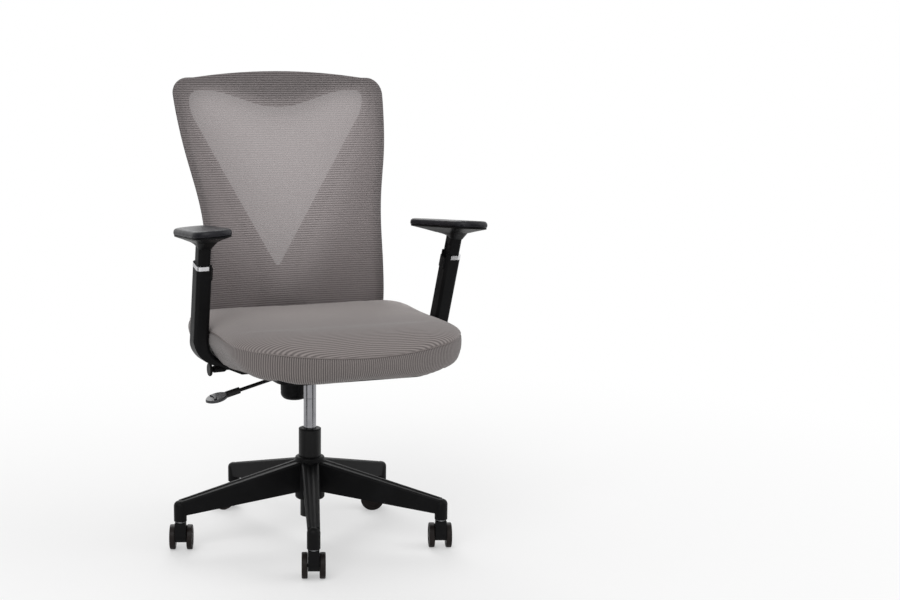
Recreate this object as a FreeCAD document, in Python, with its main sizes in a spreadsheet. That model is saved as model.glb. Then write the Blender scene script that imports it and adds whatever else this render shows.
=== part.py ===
import FreeCAD, Part
import math
import os

import Sketcher
from FreeCAD import Placement, Rotation, Vector

# Mesh task chair, millimetres, +Z up, the sitter faces -Y and has +X on the left hand.
# The origin is the point of the floor under the gas column.

AMPLE = 700.0  # longer than any piece, for shapes that only trim others

doc = FreeCAD.newDocument("task_chair")
sheet = doc.addObject("Spreadsheet::Sheet", "Sizes")

SIZES = [
    # star base and column
    ("leg_count", 5, "legs of the star base"),
    ("stem_circle", 300, "radius of the circle through the caster stems"),
    ("base_turn", -19.4, "heading of the first leg, degrees from the front"),
    ("hub_radius", 33, "outside of the hub"),
    ("hub_bottom", 95, "underside of the hub above the floor"),
    ("hub_length", 97, "height of the hub"),
    ("leg_root_width", 38, "leg width at the hub"),
    ("leg_tip_width", 26, "leg width at the caster socket"),
    ("leg_root_depth", 68, "leg height at the hub"),
    ("leg_tip_depth", 33, "leg height at the caster socket"),
    ("leg_top_drop", 10, "hub top down to the root of a leg"),
    ("leg_channel", 2.6, "depth of the channel along the top of a leg"),
    ("socket_radius", 14, "outside of the caster socket"),
    ("socket_bottom", 70, "mouth of the caster socket above the floor"),
    ("socket_length", 45, "height of the caster socket"),
    ("column_radius", 25, "outside of the column tube"),
    ("column_bottom", 55, "lower end of the column tube"),
    ("column_top", 252, "upper end of the column tube"),
    ("taper_drop", 3, "how much the column radius shrinks down the hub"),
    ("column_wall", 2, "wall of the column tube"),
    ("guide_length", 112, "length of the guide bush"),
    ("lip_height", 3.5, "lip of the guide bush above the column tube"),
    # gas spring
    ("cylinder_radius", 14, "outside of the gas cylinder"),
    ("cylinder_wall", 2, "wall of the gas cylinder"),
    ("cylinder_bottom", 165, "lower end of the gas cylinder"),
    ("cylinder_cap", 8, "end caps of the gas cylinder"),
    ("cone_length", 30, "taper at the top of the gas cylinder"),
    ("cone_drop", 1, "how much the cylinder radius shrinks up the taper"),
    ("rod_radius", 5, "piston rod"),
    ("running_gap", 0.05, "radial clearance of parts that turn or slide"),
    ("seat_gap", 0.3, "clearance of soft and formed parts that lie on each other"),
    # casters
    ("wheel_radius", 27.5, "caster wheel"),
    ("wheel_width", 12.7, "caster wheel"),
    ("housing_width", 24, "caster housing between the wheels"),
    ("caster_trail", 20, "axle behind the stem"),
    ("stem_radius", 5.5, "caster stem"),
    ("stem_length", 24, "stem inside the socket"),
    ("axle_radius", 4, "caster axle"),
    # tilt mechanism
    ("tray_bottom", 383, "underside of the mechanism tray"),
    ("tray_depth", 29, "height of the mechanism tray"),
    ("tray_width", 104, "mechanism tray"),
    ("tray_front", 110, "tray in front of the column"),
    ("tray_back", 44, "tray behind the column"),
    ("sheet_wall", 3, "pressed steel of the tray"),
    ("flange_width", 156, "seat flange of the tray"),
    ("tongue_width", 44, "rear tongue of the mechanism"),
    ("pivot_back", 60, "back pivot behind the column"),
    ("pivot_rise", 8, "back pivot above the underside of the tray"),
    ("pivot_radius", 7, "hollow pivot pin"),
    ("spring_back", 100, "tension spring behind the column"),
    ("cup_radius", 20, "spring cup under the tongue"),
    ("knob_radius", 32, "tension knob"),
    ("knob_height", 64, "tension knob"),
    ("lever_radius", 4, "lever rods"),
    ("lever_back", -26, "height lever in front of the column, as a Y place"),
    ("lever_slope", 14.5, "fall of the height lever, degrees"),
    ("lever_reach", 238, "tip of the height paddle from the middle"),
    ("lock_reach", 216, "end of the tilt lock lever from the middle"),
    # seat
    ("seat_half_width", 258, "half the cushion width"),
    ("seat_front", 340, "cushion front edge before the column"),
    ("seat_rear", 110, "cushion rear edge behind the column"),
    ("seat_thick", 103.7, "cushion from its underside to its highest point"),
    ("seat_corner", 130, "corner radius of the cushion front in plan"),
    ("pan_thickness", 8, "seat pan"),
    ("bolt_pitch", 40, "between the two bolts of an arm"),
    ("pan_margin", 23, "seat pan beyond its outer bolts"),
    # arms
    ("arm_gap", 1.5, "clearance between the cushion and the arm sleeve"),
    ("arm_back", -76.5, "Y place of the arm at its elbow"),
    ("arm_lean", 17, "forward lean of the arm post, degrees"),
    ("arm_spread", 2, "outward lean of the arm post, degrees"),
    ("elbow_rise", 71, "start of the elbow bend above the seat plane"),
    ("sleeve_length", 157, "height of the outer sleeve above the elbow bend"),
    ("bar_thick", 12, "bar of the arm under the seat"),
    ("sleeve_thick", 33, "sleeve across the chair"),
    ("sleeve_deep", 38, "sleeve along the chair"),
    ("post_thick", 27, "inner post across the chair"),
    ("post_deep", 32, "inner post along the chair"),
    ("post_shown", 51, "inner post above the sleeve at rest"),
    ("post_hidden", 95, "inner post inside the sleeve at rest"),
    ("band_height", 9, "bright trim band"),
    ("button_width", 24, "arm release button"),
    ("button_travel", 2.5, "arm release button"),
    ("pad_length", 243, "arm pad"),
    ("pad_width", 82, "arm pad"),
    ("pad_corner", 36, "corner radius of the arm pad in plan"),
    ("pad_thick", 14, "arm pad"),
    ("carrier_depth", 16.7, "carrier between the inner post and the arm pad"),
    ("pad_inset", 3, "middle of the arm pad inwards of the sleeve's mouth"),
    ("pad_back", -112, "Y place of the middle of the arm pad"),
    ("pad_splay", 4, "outward turn of the pad, degrees"),
    ("pad_pitch", 3, "upward pitch of the pad, degrees"),
    ("pad_roll", 4, "outward roll of the pad, degrees"),
    # back
    ("back_rise", 35, "lowest point of the back rim above the seat plane"),
    ("back_height", 591, "back rim from its lowest to its highest point"),
    ("back_shoulder", 249, "half width at the shoulders"),
    ("back_waist", 209, "half width at the waist"),
    ("back_hip", 222, "half width at the lower corners"),
    ("rim_width", 14, "back rim seen from the front"),
    ("rim_depth", 14, "back rim from front to rear"),
    ("mesh_thick", 2, "mesh panels"),
    ("spine_depth", 14, "rear spine from front to rear"),
    ("spine_stand", 28.5, "spine behind the face of its foot"),
    ("plate_rise", 58, "bracket plate above the lowest point of the back rim"),
    ("bracket_width", 54, "back bracket"),
    ("bracket_thick", 6, "upright plate of the back bracket"),
    ("cheek_wall", 4.6, "side cheeks of the back bracket"),
]

for row, (alias, value, note) in enumerate(SIZES, 1):
    sheet.set(f"A{row}", note)
    sheet.set(f"B{row}", str(value))
    sheet.setAlias(f"B{row}", alias)
doc.recompute()


class Size:
    """A number that remembers the sheet expression it came from."""

    def __init__(self, value, text):
        self.value = float(value)
        self.text = text

    def _join(self, other, sign, result):
        right = other.text if isinstance(other, Size) else repr(float(other))
        return Size(result, f"({self.text} {sign} {right})")

    def __add__(self, other):
        return self._join(other, "+", self.value + float(other))

    def __sub__(self, other):
        return self._join(other, "-", self.value - float(other))

    def __mul__(self, other):
        return self._join(other, "*", self.value * float(other))

    def __truediv__(self, other):
        return self._join(other, "/", self.value / float(other))

    def __rsub__(self, other):
        return Size(float(other), repr(float(other))) - self

    def __neg__(self):
        return self * -1

    def __float__(self):
        return self.value

    __radd__ = __add__
    __rmul__ = __mul__


class Sheet:
    """Gives every named cell as a Size."""

    def __getattr__(self, alias):
        return Size(sheet.get(alias), f"Sizes.{alias}")


S = Sheet()
nodes = []


def bind(obj, prop, size):
    """Set a property and tie it to the sheet."""
    setattr(obj, prop, float(size))
    if isinstance(size, Size):
        obj.setExpression(prop, size.text)


def keep(obj, label):
    """Make an object one of the chair's sub-parts."""
    obj.Label = label
    nodes.append(obj)
    return obj


# ---------------------------------------------------------------- sketches

class Via(tuple):
    """A point in a path that bends the edge through it into an arc."""


def new_sketch(owner, role, name, offset=0, placement=None):
    """A sketch on an origin plane of its body, or a free one with a placement."""
    if owner is None:
        sk = doc.addObject("Sketcher::SketchObject", name)
        sk.Placement = placement
        return sk
    sk = owner.newObject("Sketcher::SketchObject", name)
    plane = [feature for feature in owner.Origin.OriginFeatures if feature.Role == role][0]
    sk.AttachmentSupport = [(plane, "")]
    sk.MapMode = "FlatFace"
    sk.AttachmentOffset = Placement(Vector(0, 0, float(offset)), Rotation())
    if isinstance(offset, Size):
        sk.setExpression(".AttachmentOffset.Base.z", offset.text)
    return sk


def pin(sk, geo, which, point):
    """Hold a vertex at its place from the sketch origin."""
    for kind, value in zip(("DistanceX", "DistanceY"), point):
        index = sk.addConstraint(Sketcher.Constraint(kind, -1, 1, geo, which, float(value)))
        if isinstance(value, Size):
            sk.setExpression(f"Constraints[{index}]", value.text)


def flat(point):
    return Vector(float(point[0]), float(point[1]), 0)


def draw_path(sk, path):
    """Draw a closed outline of lines and arcs and pin each of its corners."""
    corners = [i for i, point in enumerate(path) if not isinstance(point, Via)]
    edges = []
    for i in corners:
        after = path[(i + 1) % len(path)]
        if isinstance(after, Via):
            end = path[(i + 2) % len(path)]
            arc = Part.Arc(flat(path[i]), flat(after), flat(end))
            edge = sk.addGeometry(arc, False)
            start = sk.getPoint(edge, 1).distanceToPoint(flat(path[i]))
            edges.append((edge, 1, 2) if start < 1e-6 else (edge, 2, 1))
        else:
            edges.append((sk.addGeometry(Part.LineSegment(flat(path[i]), flat(after)), False), 1, 2))
    for k, (edge, first, last) in enumerate(edges):
        following = edges[(k + 1) % len(edges)]
        sk.addConstraint(Sketcher.Constraint("Coincident", edge, last, following[0], following[1]))
        pin(sk, edge, first, path[corners[k]])


def draw_circle(sk, x, y, radius):
    circle = sk.addGeometry(Part.Circle(Vector(float(x), float(y), 0), Vector(0, 0, 1), float(radius)), False)
    pin(sk, circle, 3, (x, y))
    index = sk.addConstraint(Sketcher.Constraint("Radius", circle, float(radius)))
    if isinstance(radius, Size):
        sk.setExpression(f"Constraints[{index}]", radius.text)


def box_path(x0, y0, x1, y1):
    return [(x0, y0), (x1, y0), (x1, y1), (x0, y1)]


def round_box_path(half_x, half_y, radius, x=0, y=0):
    """Rounded rectangle about (x, y), with its corners as arcs."""
    diagonal = math.sqrt(0.5)
    path = []
    for sx, sy, swap in ((1, -1, False), (1, 1, True), (-1, 1, False), (-1, -1, True)):
        near = (x + sx * (half_x - radius), y + sy * half_y)
        far = (x + sx * half_x, y + sy * (half_y - radius))
        bend = Via((x + sx * (half_x - radius * (1 - diagonal)), y + sy * (half_y - radius * (1 - diagonal))))
        path += [far, bend, near] if swap else [near, bend, far]
    return path


# ---------------------------------------------------------------- features

def new_body(label):
    return keep(doc.addObject("PartDesign::Body", label), label)


def sketch_with(body, role, name, paths=(), circles=(), offset=0):
    sk = new_sketch(body, role, name, offset)
    for path in paths:
        draw_path(sk, path)
    for circle in circles:
        draw_circle(sk, *circle)
    return sk


def pad(body, sk, length, middle=False):
    feature = body.newObject("PartDesign::Pad", "Pad")
    feature.Profile = sk
    bind(feature, "Length", length)
    feature.Midplane = middle
    doc.recompute()
    return feature


def cut(body, sk, length, middle=False, reverse=False):
    """Pocket a sketch out of a body, and see that it took material away."""
    before = body.Shape.Volume
    feature = body.newObject("PartDesign::Pocket", "Pocket")
    feature.Profile = sk
    bind(feature, "Length", length)
    feature.Midplane = middle
    feature.Reversed = reverse
    doc.recompute()
    assert body.Shape.Volume < before - 0.01, f"{body.Label}: {sk.Name} cuts nothing"
    return feature


def turn(body, sk, axis="V_Axis", kind="Revolution"):
    feature = body.newObject(f"PartDesign::{kind}", kind)
    feature.Profile = sk
    feature.ReferenceAxis = (sk, [axis])
    feature.Angle = 360
    doc.recompute()
    return feature


def turned_body(label, path, x=0, y=0):
    """A body of revolution about a vertical axis, from a path of (radius, height) points."""
    body = new_body(label)
    turn(body, sketch_with(body, "XZ_Plane", f"{label}_profile", [path]))
    body.Placement.Base = Vector(float(x), float(y), 0)
    return body


def tool(kind, name, **sizes):
    obj = doc.addObject(f"Part::{kind}", name)
    for prop, size in sizes.items():
        bind(obj, prop, size)
    return obj


def cylinder(name, radius, length, place, axis=Vector(0, 0, 1)):
    obj = tool("Cylinder", name, Radius=radius, Height=length)
    obj.Placement = Placement(Vector(*[float(v) for v in place]), Rotation(Vector(0, 0, 1), axis))
    return obj


def prism(name, path, role, start, length, circles=()):
    """A free extrusion: role names the plane it is drawn in, start its place on the normal."""
    turns = {
        "XY": (Rotation(), Vector(0, 0, 1)),
        "XZ": (Rotation(Vector(1, 0, 0), 90), Vector(0, 1, 0)),
        "YZ": (Rotation(Vector(1, 1, 1), 120), Vector(1, 0, 0)),
    }
    rotation, normal = turns[role]
    sk = new_sketch(None, role, f"{name}_outline", placement=Placement(normal * float(start), rotation))
    if path:
        draw_path(sk, path)
    for circle in circles:
        draw_circle(sk, *circle)
    solid = doc.addObject("Part::Extrusion", name)
    solid.Base = sk
    solid.DirMode = "Custom"
    solid.Dir = normal
    solid.Solid = True
    bind(solid, "LengthFwd", length)
    return solid


def combine(kind, name, shapes):
    """MultiCommon, MultiFuse or Compound of several objects."""
    obj = doc.addObject(f"Part::{kind}", name)
    setattr(obj, "Links" if kind == "Compound" else "Shapes", shapes)
    return obj


def minus(name, base, *tools):
    """Take one or more tools out of a base, and see that each removes something."""
    doc.recompute()
    result = base
    for k, taker in enumerate(tools):
        obj = doc.addObject("Part::Cut", f"{name}_{k}")
        obj.Base = result
        obj.Tool = taker
        before = result.Shape.Volume
        doc.recompute()
        assert obj.Shape.Volume < before - 0.01, f"{name}: {taker.Name} cuts nothing"
        result = obj
    return result


def mirrored(source, label):
    """The other side's copy of a left-hand piece."""
    obj = doc.addObject("Part::Mirroring", label)
    obj.Source = source
    obj.Normal = Vector(1, 0, 0)
    obj.Base = Vector(0, 0, 0)
    return keep(obj, label)


def rounded(name, base, radius, wanted):
    """Fillet the edges that a test picks out."""
    doc.recompute()
    obj = doc.addObject("Part::Fillet", name)
    obj.Base = base
    picked = [i for i, edge in enumerate(base.Shape.Edges, 1) if wanted(edge)]
    obj.Edges = [(i, float(radius), float(radius)) for i in picked]
    doc.recompute()
    return obj


# ---------------------------------------------------------------- star base

def build_star_base():
    body = new_body("star_base")
    top = S.hub_bottom + S.hub_length
    edge = 5
    low_bore = S.column_radius - S.taper_drop - 0.5
    high_bore = S.column_radius - 0.5
    hub = [
        (low_bore, S.hub_bottom),
        (S.hub_radius - edge, S.hub_bottom),
        Via((S.hub_radius - 0.3 * edge, S.hub_bottom + 0.3 * edge)),
        (S.hub_radius, S.hub_bottom + edge),
        (S.hub_radius, top - edge),
        Via((S.hub_radius - 0.3 * edge, top - 0.3 * edge)),
        (S.hub_radius - edge, top),
        (high_bore, top),
    ]
    turn(body, sketch_with(body, "XZ_Plane", "hub_profile", [hub]))

    def leg_section(name, out, width, height, depth):
        half = width * 0.5
        shoulder = 4.0
        return sketch_with(body, "YZ_Plane", name, [[
            (-half * 0.8, height - depth),
            (half * 0.8, height - depth),
            (half, height - shoulder * 1.6),
            Via((half - shoulder * 0.25, height - shoulder * 0.3)),
            (half - shoulder, height),
            (half * 0.42, height),
            Via((Size(0, "0"), height - S.leg_channel)),
            (-half * 0.42, height),
            (shoulder - half, height),
            Via((shoulder * 0.25 - half, height - shoulder * 0.3)),
            (-half, height - shoulder * 1.6),
        ]], offset=out)

    root = leg_section("leg_root", S.hub_radius - 5, S.leg_root_width, top - S.leg_top_drop, S.leg_root_depth)
    tip_top = S.socket_bottom + S.socket_length
    tip = leg_section("leg_tip", S.stem_circle, S.leg_tip_width, tip_top, S.leg_tip_depth)
    leg = body.newObject("PartDesign::AdditiveLoft", "Leg")
    leg.Profile = (root, [""])
    leg.Sections = [(tip, [""])]
    leg.Ruled = True
    doc.recompute()

    dome = 11
    socket = sketch_with(body, "XZ_Plane", "socket_profile", [[
        (S.stem_circle, S.socket_bottom),
        (S.stem_circle + S.socket_radius, S.socket_bottom),
        (S.stem_circle + S.socket_radius, tip_top - dome),
        Via((S.stem_circle + S.socket_radius - 0.3 * dome, tip_top - 0.3 * dome)),
        (S.stem_circle + S.socket_radius - dome, tip_top),
        (S.stem_circle, tip_top),
    ]])
    line = Part.LineSegment(Vector(float(S.stem_circle), 0, 0), Vector(float(S.stem_circle), 50, 0))
    axis = socket.addGeometry(line, True)
    pin(socket, axis, 1, (S.stem_circle, 0.0))
    pin(socket, axis, 2, (S.stem_circle, 50.0))
    boss = turn(body, socket, "Axis0")
    bore = sketch_with(body, "XY_Plane", "socket_bore", circles=[(S.stem_circle, 0, sleeve_outside())],
                       offset=S.socket_bottom)
    hole = cut(body, bore, S.stem_length + 4, reverse=True)

    pattern = body.newObject("PartDesign::PolarPattern", "Legs")
    pattern.Originals = [leg, boss, hole]
    pattern.Axis = (body.Origin.OriginFeatures[2], [""])
    pattern.Angle = 360
    pattern.Occurrences = int(float(S.leg_count))
    body.Tip = pattern
    doc.recompute()
    body.Placement = Placement(Vector(0, 0, 0), Rotation(Vector(0, 0, 1), float(S.base_turn) - 90))


def pivot_height():
    return S.tray_bottom + S.pivot_rise


def seat_plane():
    """Height of the pan's underside, where it lies on the mechanism."""
    return S.tray_bottom + S.tray_depth


def seat_underside():
    return seat_plane() + S.pan_thickness + S.seat_gap


def seat_top():
    return seat_underside() + S.seat_thick


def back_bottom():
    return seat_plane() + S.back_rise


def back_top():
    return back_bottom() + S.back_height


def sleeve_outside():
    return S.stem_radius + S.running_gap + 2


def leg_headings():
    count = int(float(S.leg_count))
    return [float(S.base_turn) + k * 360.0 / count for k in range(count)]


def stem_place(heading):
    angle = math.radians(heading)
    return Vector(float(S.stem_circle) * math.sin(angle), -float(S.stem_circle) * math.cos(angle), 0)


def build_stem_sleeves():
    sleeves = []
    for k, heading in enumerate(leg_headings(), 1):
        place = stem_place(heading) + Vector(0, 0, float(S.socket_bottom))
        outer = cylinder(f"sleeve_{k}", sleeve_outside() - 0.02, S.stem_length + 3, place)
        inner = cylinder(f"sleeve_bore_{k}", S.stem_radius + S.running_gap, S.stem_length + 3, place)
        sleeves.append(minus(f"stem_sleeve_{k}", outer, inner))
    keep(combine("Compound", "stem_sleeves", sleeves), "stem_sleeves")


# ---------------------------------------------------------------- column

def column_bore():
    return S.column_radius - S.taper_drop - 0.5 - S.column_wall


def build_column():
    top = S.hub_bottom + S.hub_length
    narrow = S.column_radius - S.taper_drop - 0.52
    shoulder = S.column_radius - 0.52
    wide_bore = S.column_radius - S.column_wall
    floor = S.column_bottom + 5
    step = top + 4
    turned_body("column_tube", [
        (S.rod_radius + 1, S.column_bottom),
        (narrow, S.column_bottom),
        (narrow, S.hub_bottom),
        (shoulder, top),
        (S.column_radius, top + 0.05),
        (S.column_radius, S.column_top),
        (wide_bore, S.column_top),
        (wide_bore, step),
        (column_bore(), step),
        (column_bore(), floor),
        (S.rod_radius + 1, floor),
    ])
    bush_bottom = S.column_top - S.guide_length
    inside = S.cylinder_radius + S.running_gap
    turned_body("guide_bush", [
        (inside, bush_bottom),
        (column_bore() - 0.05, bush_bottom),
        (column_bore() - 0.05, step + 0.05),
        (wide_bore - 0.05, step + 0.05),
        (wide_bore - 0.05, S.column_top + 0.05),
        (S.column_radius, S.column_top + 0.05),
        (S.column_radius, S.column_top + S.lip_height - 1),
        (S.column_radius - 1.5, S.column_top + S.lip_height),
        (inside, S.column_top + S.lip_height),
    ])

    low = S.column_bottom + 5
    race = S.rod_radius + 0.1
    washers = []
    for name, bottom, height, inner, outer in (
        ("lower_race", low, 2, race, race + 12),
        ("ball_cage", low + 2, 6, race + 2.5, race + 9.5),
        ("upper_race", low + 8, 2, race, race + 12),
    ):
        disc = cylinder(name, outer, height, (0, 0, bottom))
        hole = cylinder(f"{name}_hole", inner, height, (0, 0, bottom))
        washers.append(minus(f"{name}_ring", disc, hole))
    keep(combine("Compound", "thrust_bearing", washers), "thrust_bearing")

    piston = S.cylinder_radius - S.cylinder_wall - S.running_gap
    shoulder_at = low + 10.05
    end = S.cylinder_bottom + 25
    turned_body("piston_rod", [
        (0, S.column_bottom - 8),
        (S.rod_radius - 1, S.column_bottom - 8),
        (S.rod_radius, S.column_bottom - 7),
        (S.rod_radius, S.column_bottom - 4),
        (S.rod_radius - 1, S.column_bottom - 4),
        (S.rod_radius - 1, S.column_bottom - 1),
        (S.rod_radius, S.column_bottom - 1),
        (S.rod_radius, shoulder_at),
        (S.rod_radius + 3.5, shoulder_at),
        (S.rod_radius + 3.5, shoulder_at + 3),
        (S.rod_radius, shoulder_at + 3),
        (S.rod_radius, end),
        (piston, end),
        (piston, end + 10),
        (0, end + 10),
    ])
    clip = cylinder("clip_disc", S.rod_radius + 4.5, 2.5, (0, 0, S.column_bottom - 3.6))
    groove = cylinder("clip_hole", S.rod_radius - 1 + 0.02, 2.5, (0, 0, S.column_bottom - 3.6))
    mouth = prism("clip_mouth", box_path(-2, 0, 2, 20), "XY", float(S.column_bottom) - 3.6, 2.5)
    keep(minus("rod_clip_cut", clip, groove, mouth), "rod_clip")


def build_gas_cylinder():
    """The bright cylinder; its taper grips the socket of the mechanism."""
    radius = S.cylinder_radius
    cone = S.tray_bottom - 11
    top = cone + S.cone_length
    inside = radius - S.cylinder_wall
    mark = S.tray_bottom - 60
    turned_body("gas_cylinder", [
        (S.rod_radius + S.running_gap, S.cylinder_bottom),
        (radius - 1.5, S.cylinder_bottom),
        (radius, S.cylinder_bottom + 1.5),
        (radius, mark),
        (radius - 0.6, mark),
        (radius - 0.6, mark + 1.5),
        (radius, mark + 1.5),
        (radius, cone),
        (radius - S.cone_drop, top),
        (valve_radius() + S.running_gap, top),
        (valve_radius() + S.running_gap, top - S.cylinder_cap),
        (inside - S.cone_drop, top - S.cylinder_cap),
        (inside - S.cone_drop, cone),
        (inside, cone - 3),
        (inside, S.cylinder_bottom + S.cylinder_cap),
        (S.rod_radius + S.running_gap, S.cylinder_bottom + S.cylinder_cap),
    ])
    turned_body("valve_pin", [
        (0, top - S.cylinder_cap + 1),
        (valve_radius(), top - S.cylinder_cap + 1),
        (valve_radius(), seat_plane() - 5.4),
        (0, seat_plane() - 5.4),
    ])


def valve_radius():
    return S.cylinder_radius * 0.18


# ---------------------------------------------------------------- casters

def wheel_profile():
    width = S.wheel_width
    radius = S.wheel_radius
    bore = S.axle_radius + S.running_gap
    tread = 2.5
    cap = 1.7
    return [
        (0, bore),
        (0, radius - tread),
        Via((0.3 * tread, radius - 0.3 * tread)),
        (tread, radius),
        (width - tread, radius),
        Via((width - 0.3 * tread, radius - 0.3 * tread)),
        (width, radius - tread),
        (width, radius - 3 * tread),
        (width - 2, radius - 3.6 * tread),
        (width - 2, S.axle_radius * 2.2),
        (width, S.axle_radius * 1.8),
        (width, 0),
        (width - cap, 0),
        (width - cap, bore),
    ]


def build_caster(name, heading, trail_turn):
    """One twin-wheel caster; trail_turn is the heading its wheels trail to, degrees from +Y."""
    origin = stem_place(heading)
    spin = Rotation(Vector(0, 0, 1), trail_turn)
    frame = Placement(origin, spin)
    trail = S.caster_trail
    height = S.wheel_radius
    neck = S.socket_bottom - 4
    front = S.stem_radius * 2
    boss = 11

    def boss_point(degrees):
        angle = math.radians(degrees)
        return (trail + boss * math.cos(angle), height + boss * math.sin(angle))

    housing = new_body(f"{name}_housing")
    profile = [
        (-front, neck),
        (-front, height + 14),
        Via((-front + 4, height - 1)),
        boss_point(228),
        Via(boss_point(300)),
        boss_point(15),
        Via((trail + 7, height + 20)),
        (front, neck - 8),
        (front, neck),
    ]
    pad(housing, sketch_with(housing, "YZ_Plane", f"{name}_side", [profile]), S.housing_width, middle=True)
    half = float(S.housing_width) / 2
    stem_hole = sketch_with(housing, "XY_Plane", f"{name}_stem_hole", circles=[(0, 0, S.stem_radius + 0.02)],
                            offset=neck)
    cut(housing, stem_hole, 22)
    axle_hole = sketch_with(housing, "YZ_Plane", f"{name}_axle_hole",
                            circles=[(trail, height, S.axle_radius + 0.02)])
    cut(housing, axle_hole, S.housing_width + 4, middle=True)
    housing.Placement = frame

    top = S.socket_bottom + S.stem_length
    stem = doc.addObject("PartDesign::Body", f"{name}_stem")
    turn(stem, sketch_with(stem, "XZ_Plane", f"{name}_stem_profile", [[
        (0, neck - 22),
        (S.stem_radius, neck - 22),
        (S.stem_radius, neck + 0.1),
        (S.stem_radius + 4, neck + 0.1),
        (S.stem_radius + 4, S.socket_bottom - 0.5),
        (S.stem_radius, S.socket_bottom - 0.5),
        (S.stem_radius, top - 6),
        (S.stem_radius - 0.8, top - 6),
        (S.stem_radius - 0.8, top - 4),
        (S.stem_radius, top - 4),
        (S.stem_radius - 1.2, top),
        (0, top),
    ]]))
    stem.Placement = frame
    reach = S.housing_width * 0.5 + S.seat_gap + S.wheel_width - 2.2
    axle = cylinder(f"{name}_axle", S.axle_radius, reach * 2, (0, 0, 0))
    start = Placement(Vector(-float(reach), float(trail), float(height)), Rotation(Vector(0, 1, 0), 90))
    axle.Placement = frame.multiply(start)
    keep(combine("Compound", f"{name}_pins", [stem, axle]), f"{name}_pins")

    for side, sign in (("left", 1), ("right", -1)):
        wheel = new_body(f"{name}_wheel_{side}")
        sk = sketch_with(wheel, "XZ_Plane", f"{name}_{side}_profile", [wheel_profile()])
        turn(wheel, sk, "H_Axis")
        offset = Vector(sign * (half + float(S.seat_gap)), float(trail), float(height))
        flip = Rotation(Vector(0, 0, 1), 0 if sign > 0 else 180)
        wheel.Placement = frame.multiply(Placement(offset, flip))


# each caster in the order of the legs, and the heading that its wheels trail to, degrees from +Y
CASTERS = {
    "caster_front": -20.9,
    "caster_left_front": -20.9,
    "caster_left_rear": 69.1,
    "caster_right_rear": 39.1,
    "caster_right_front": -20.9,
}


# ---------------------------------------------------------------- tilt mechanism

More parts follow.
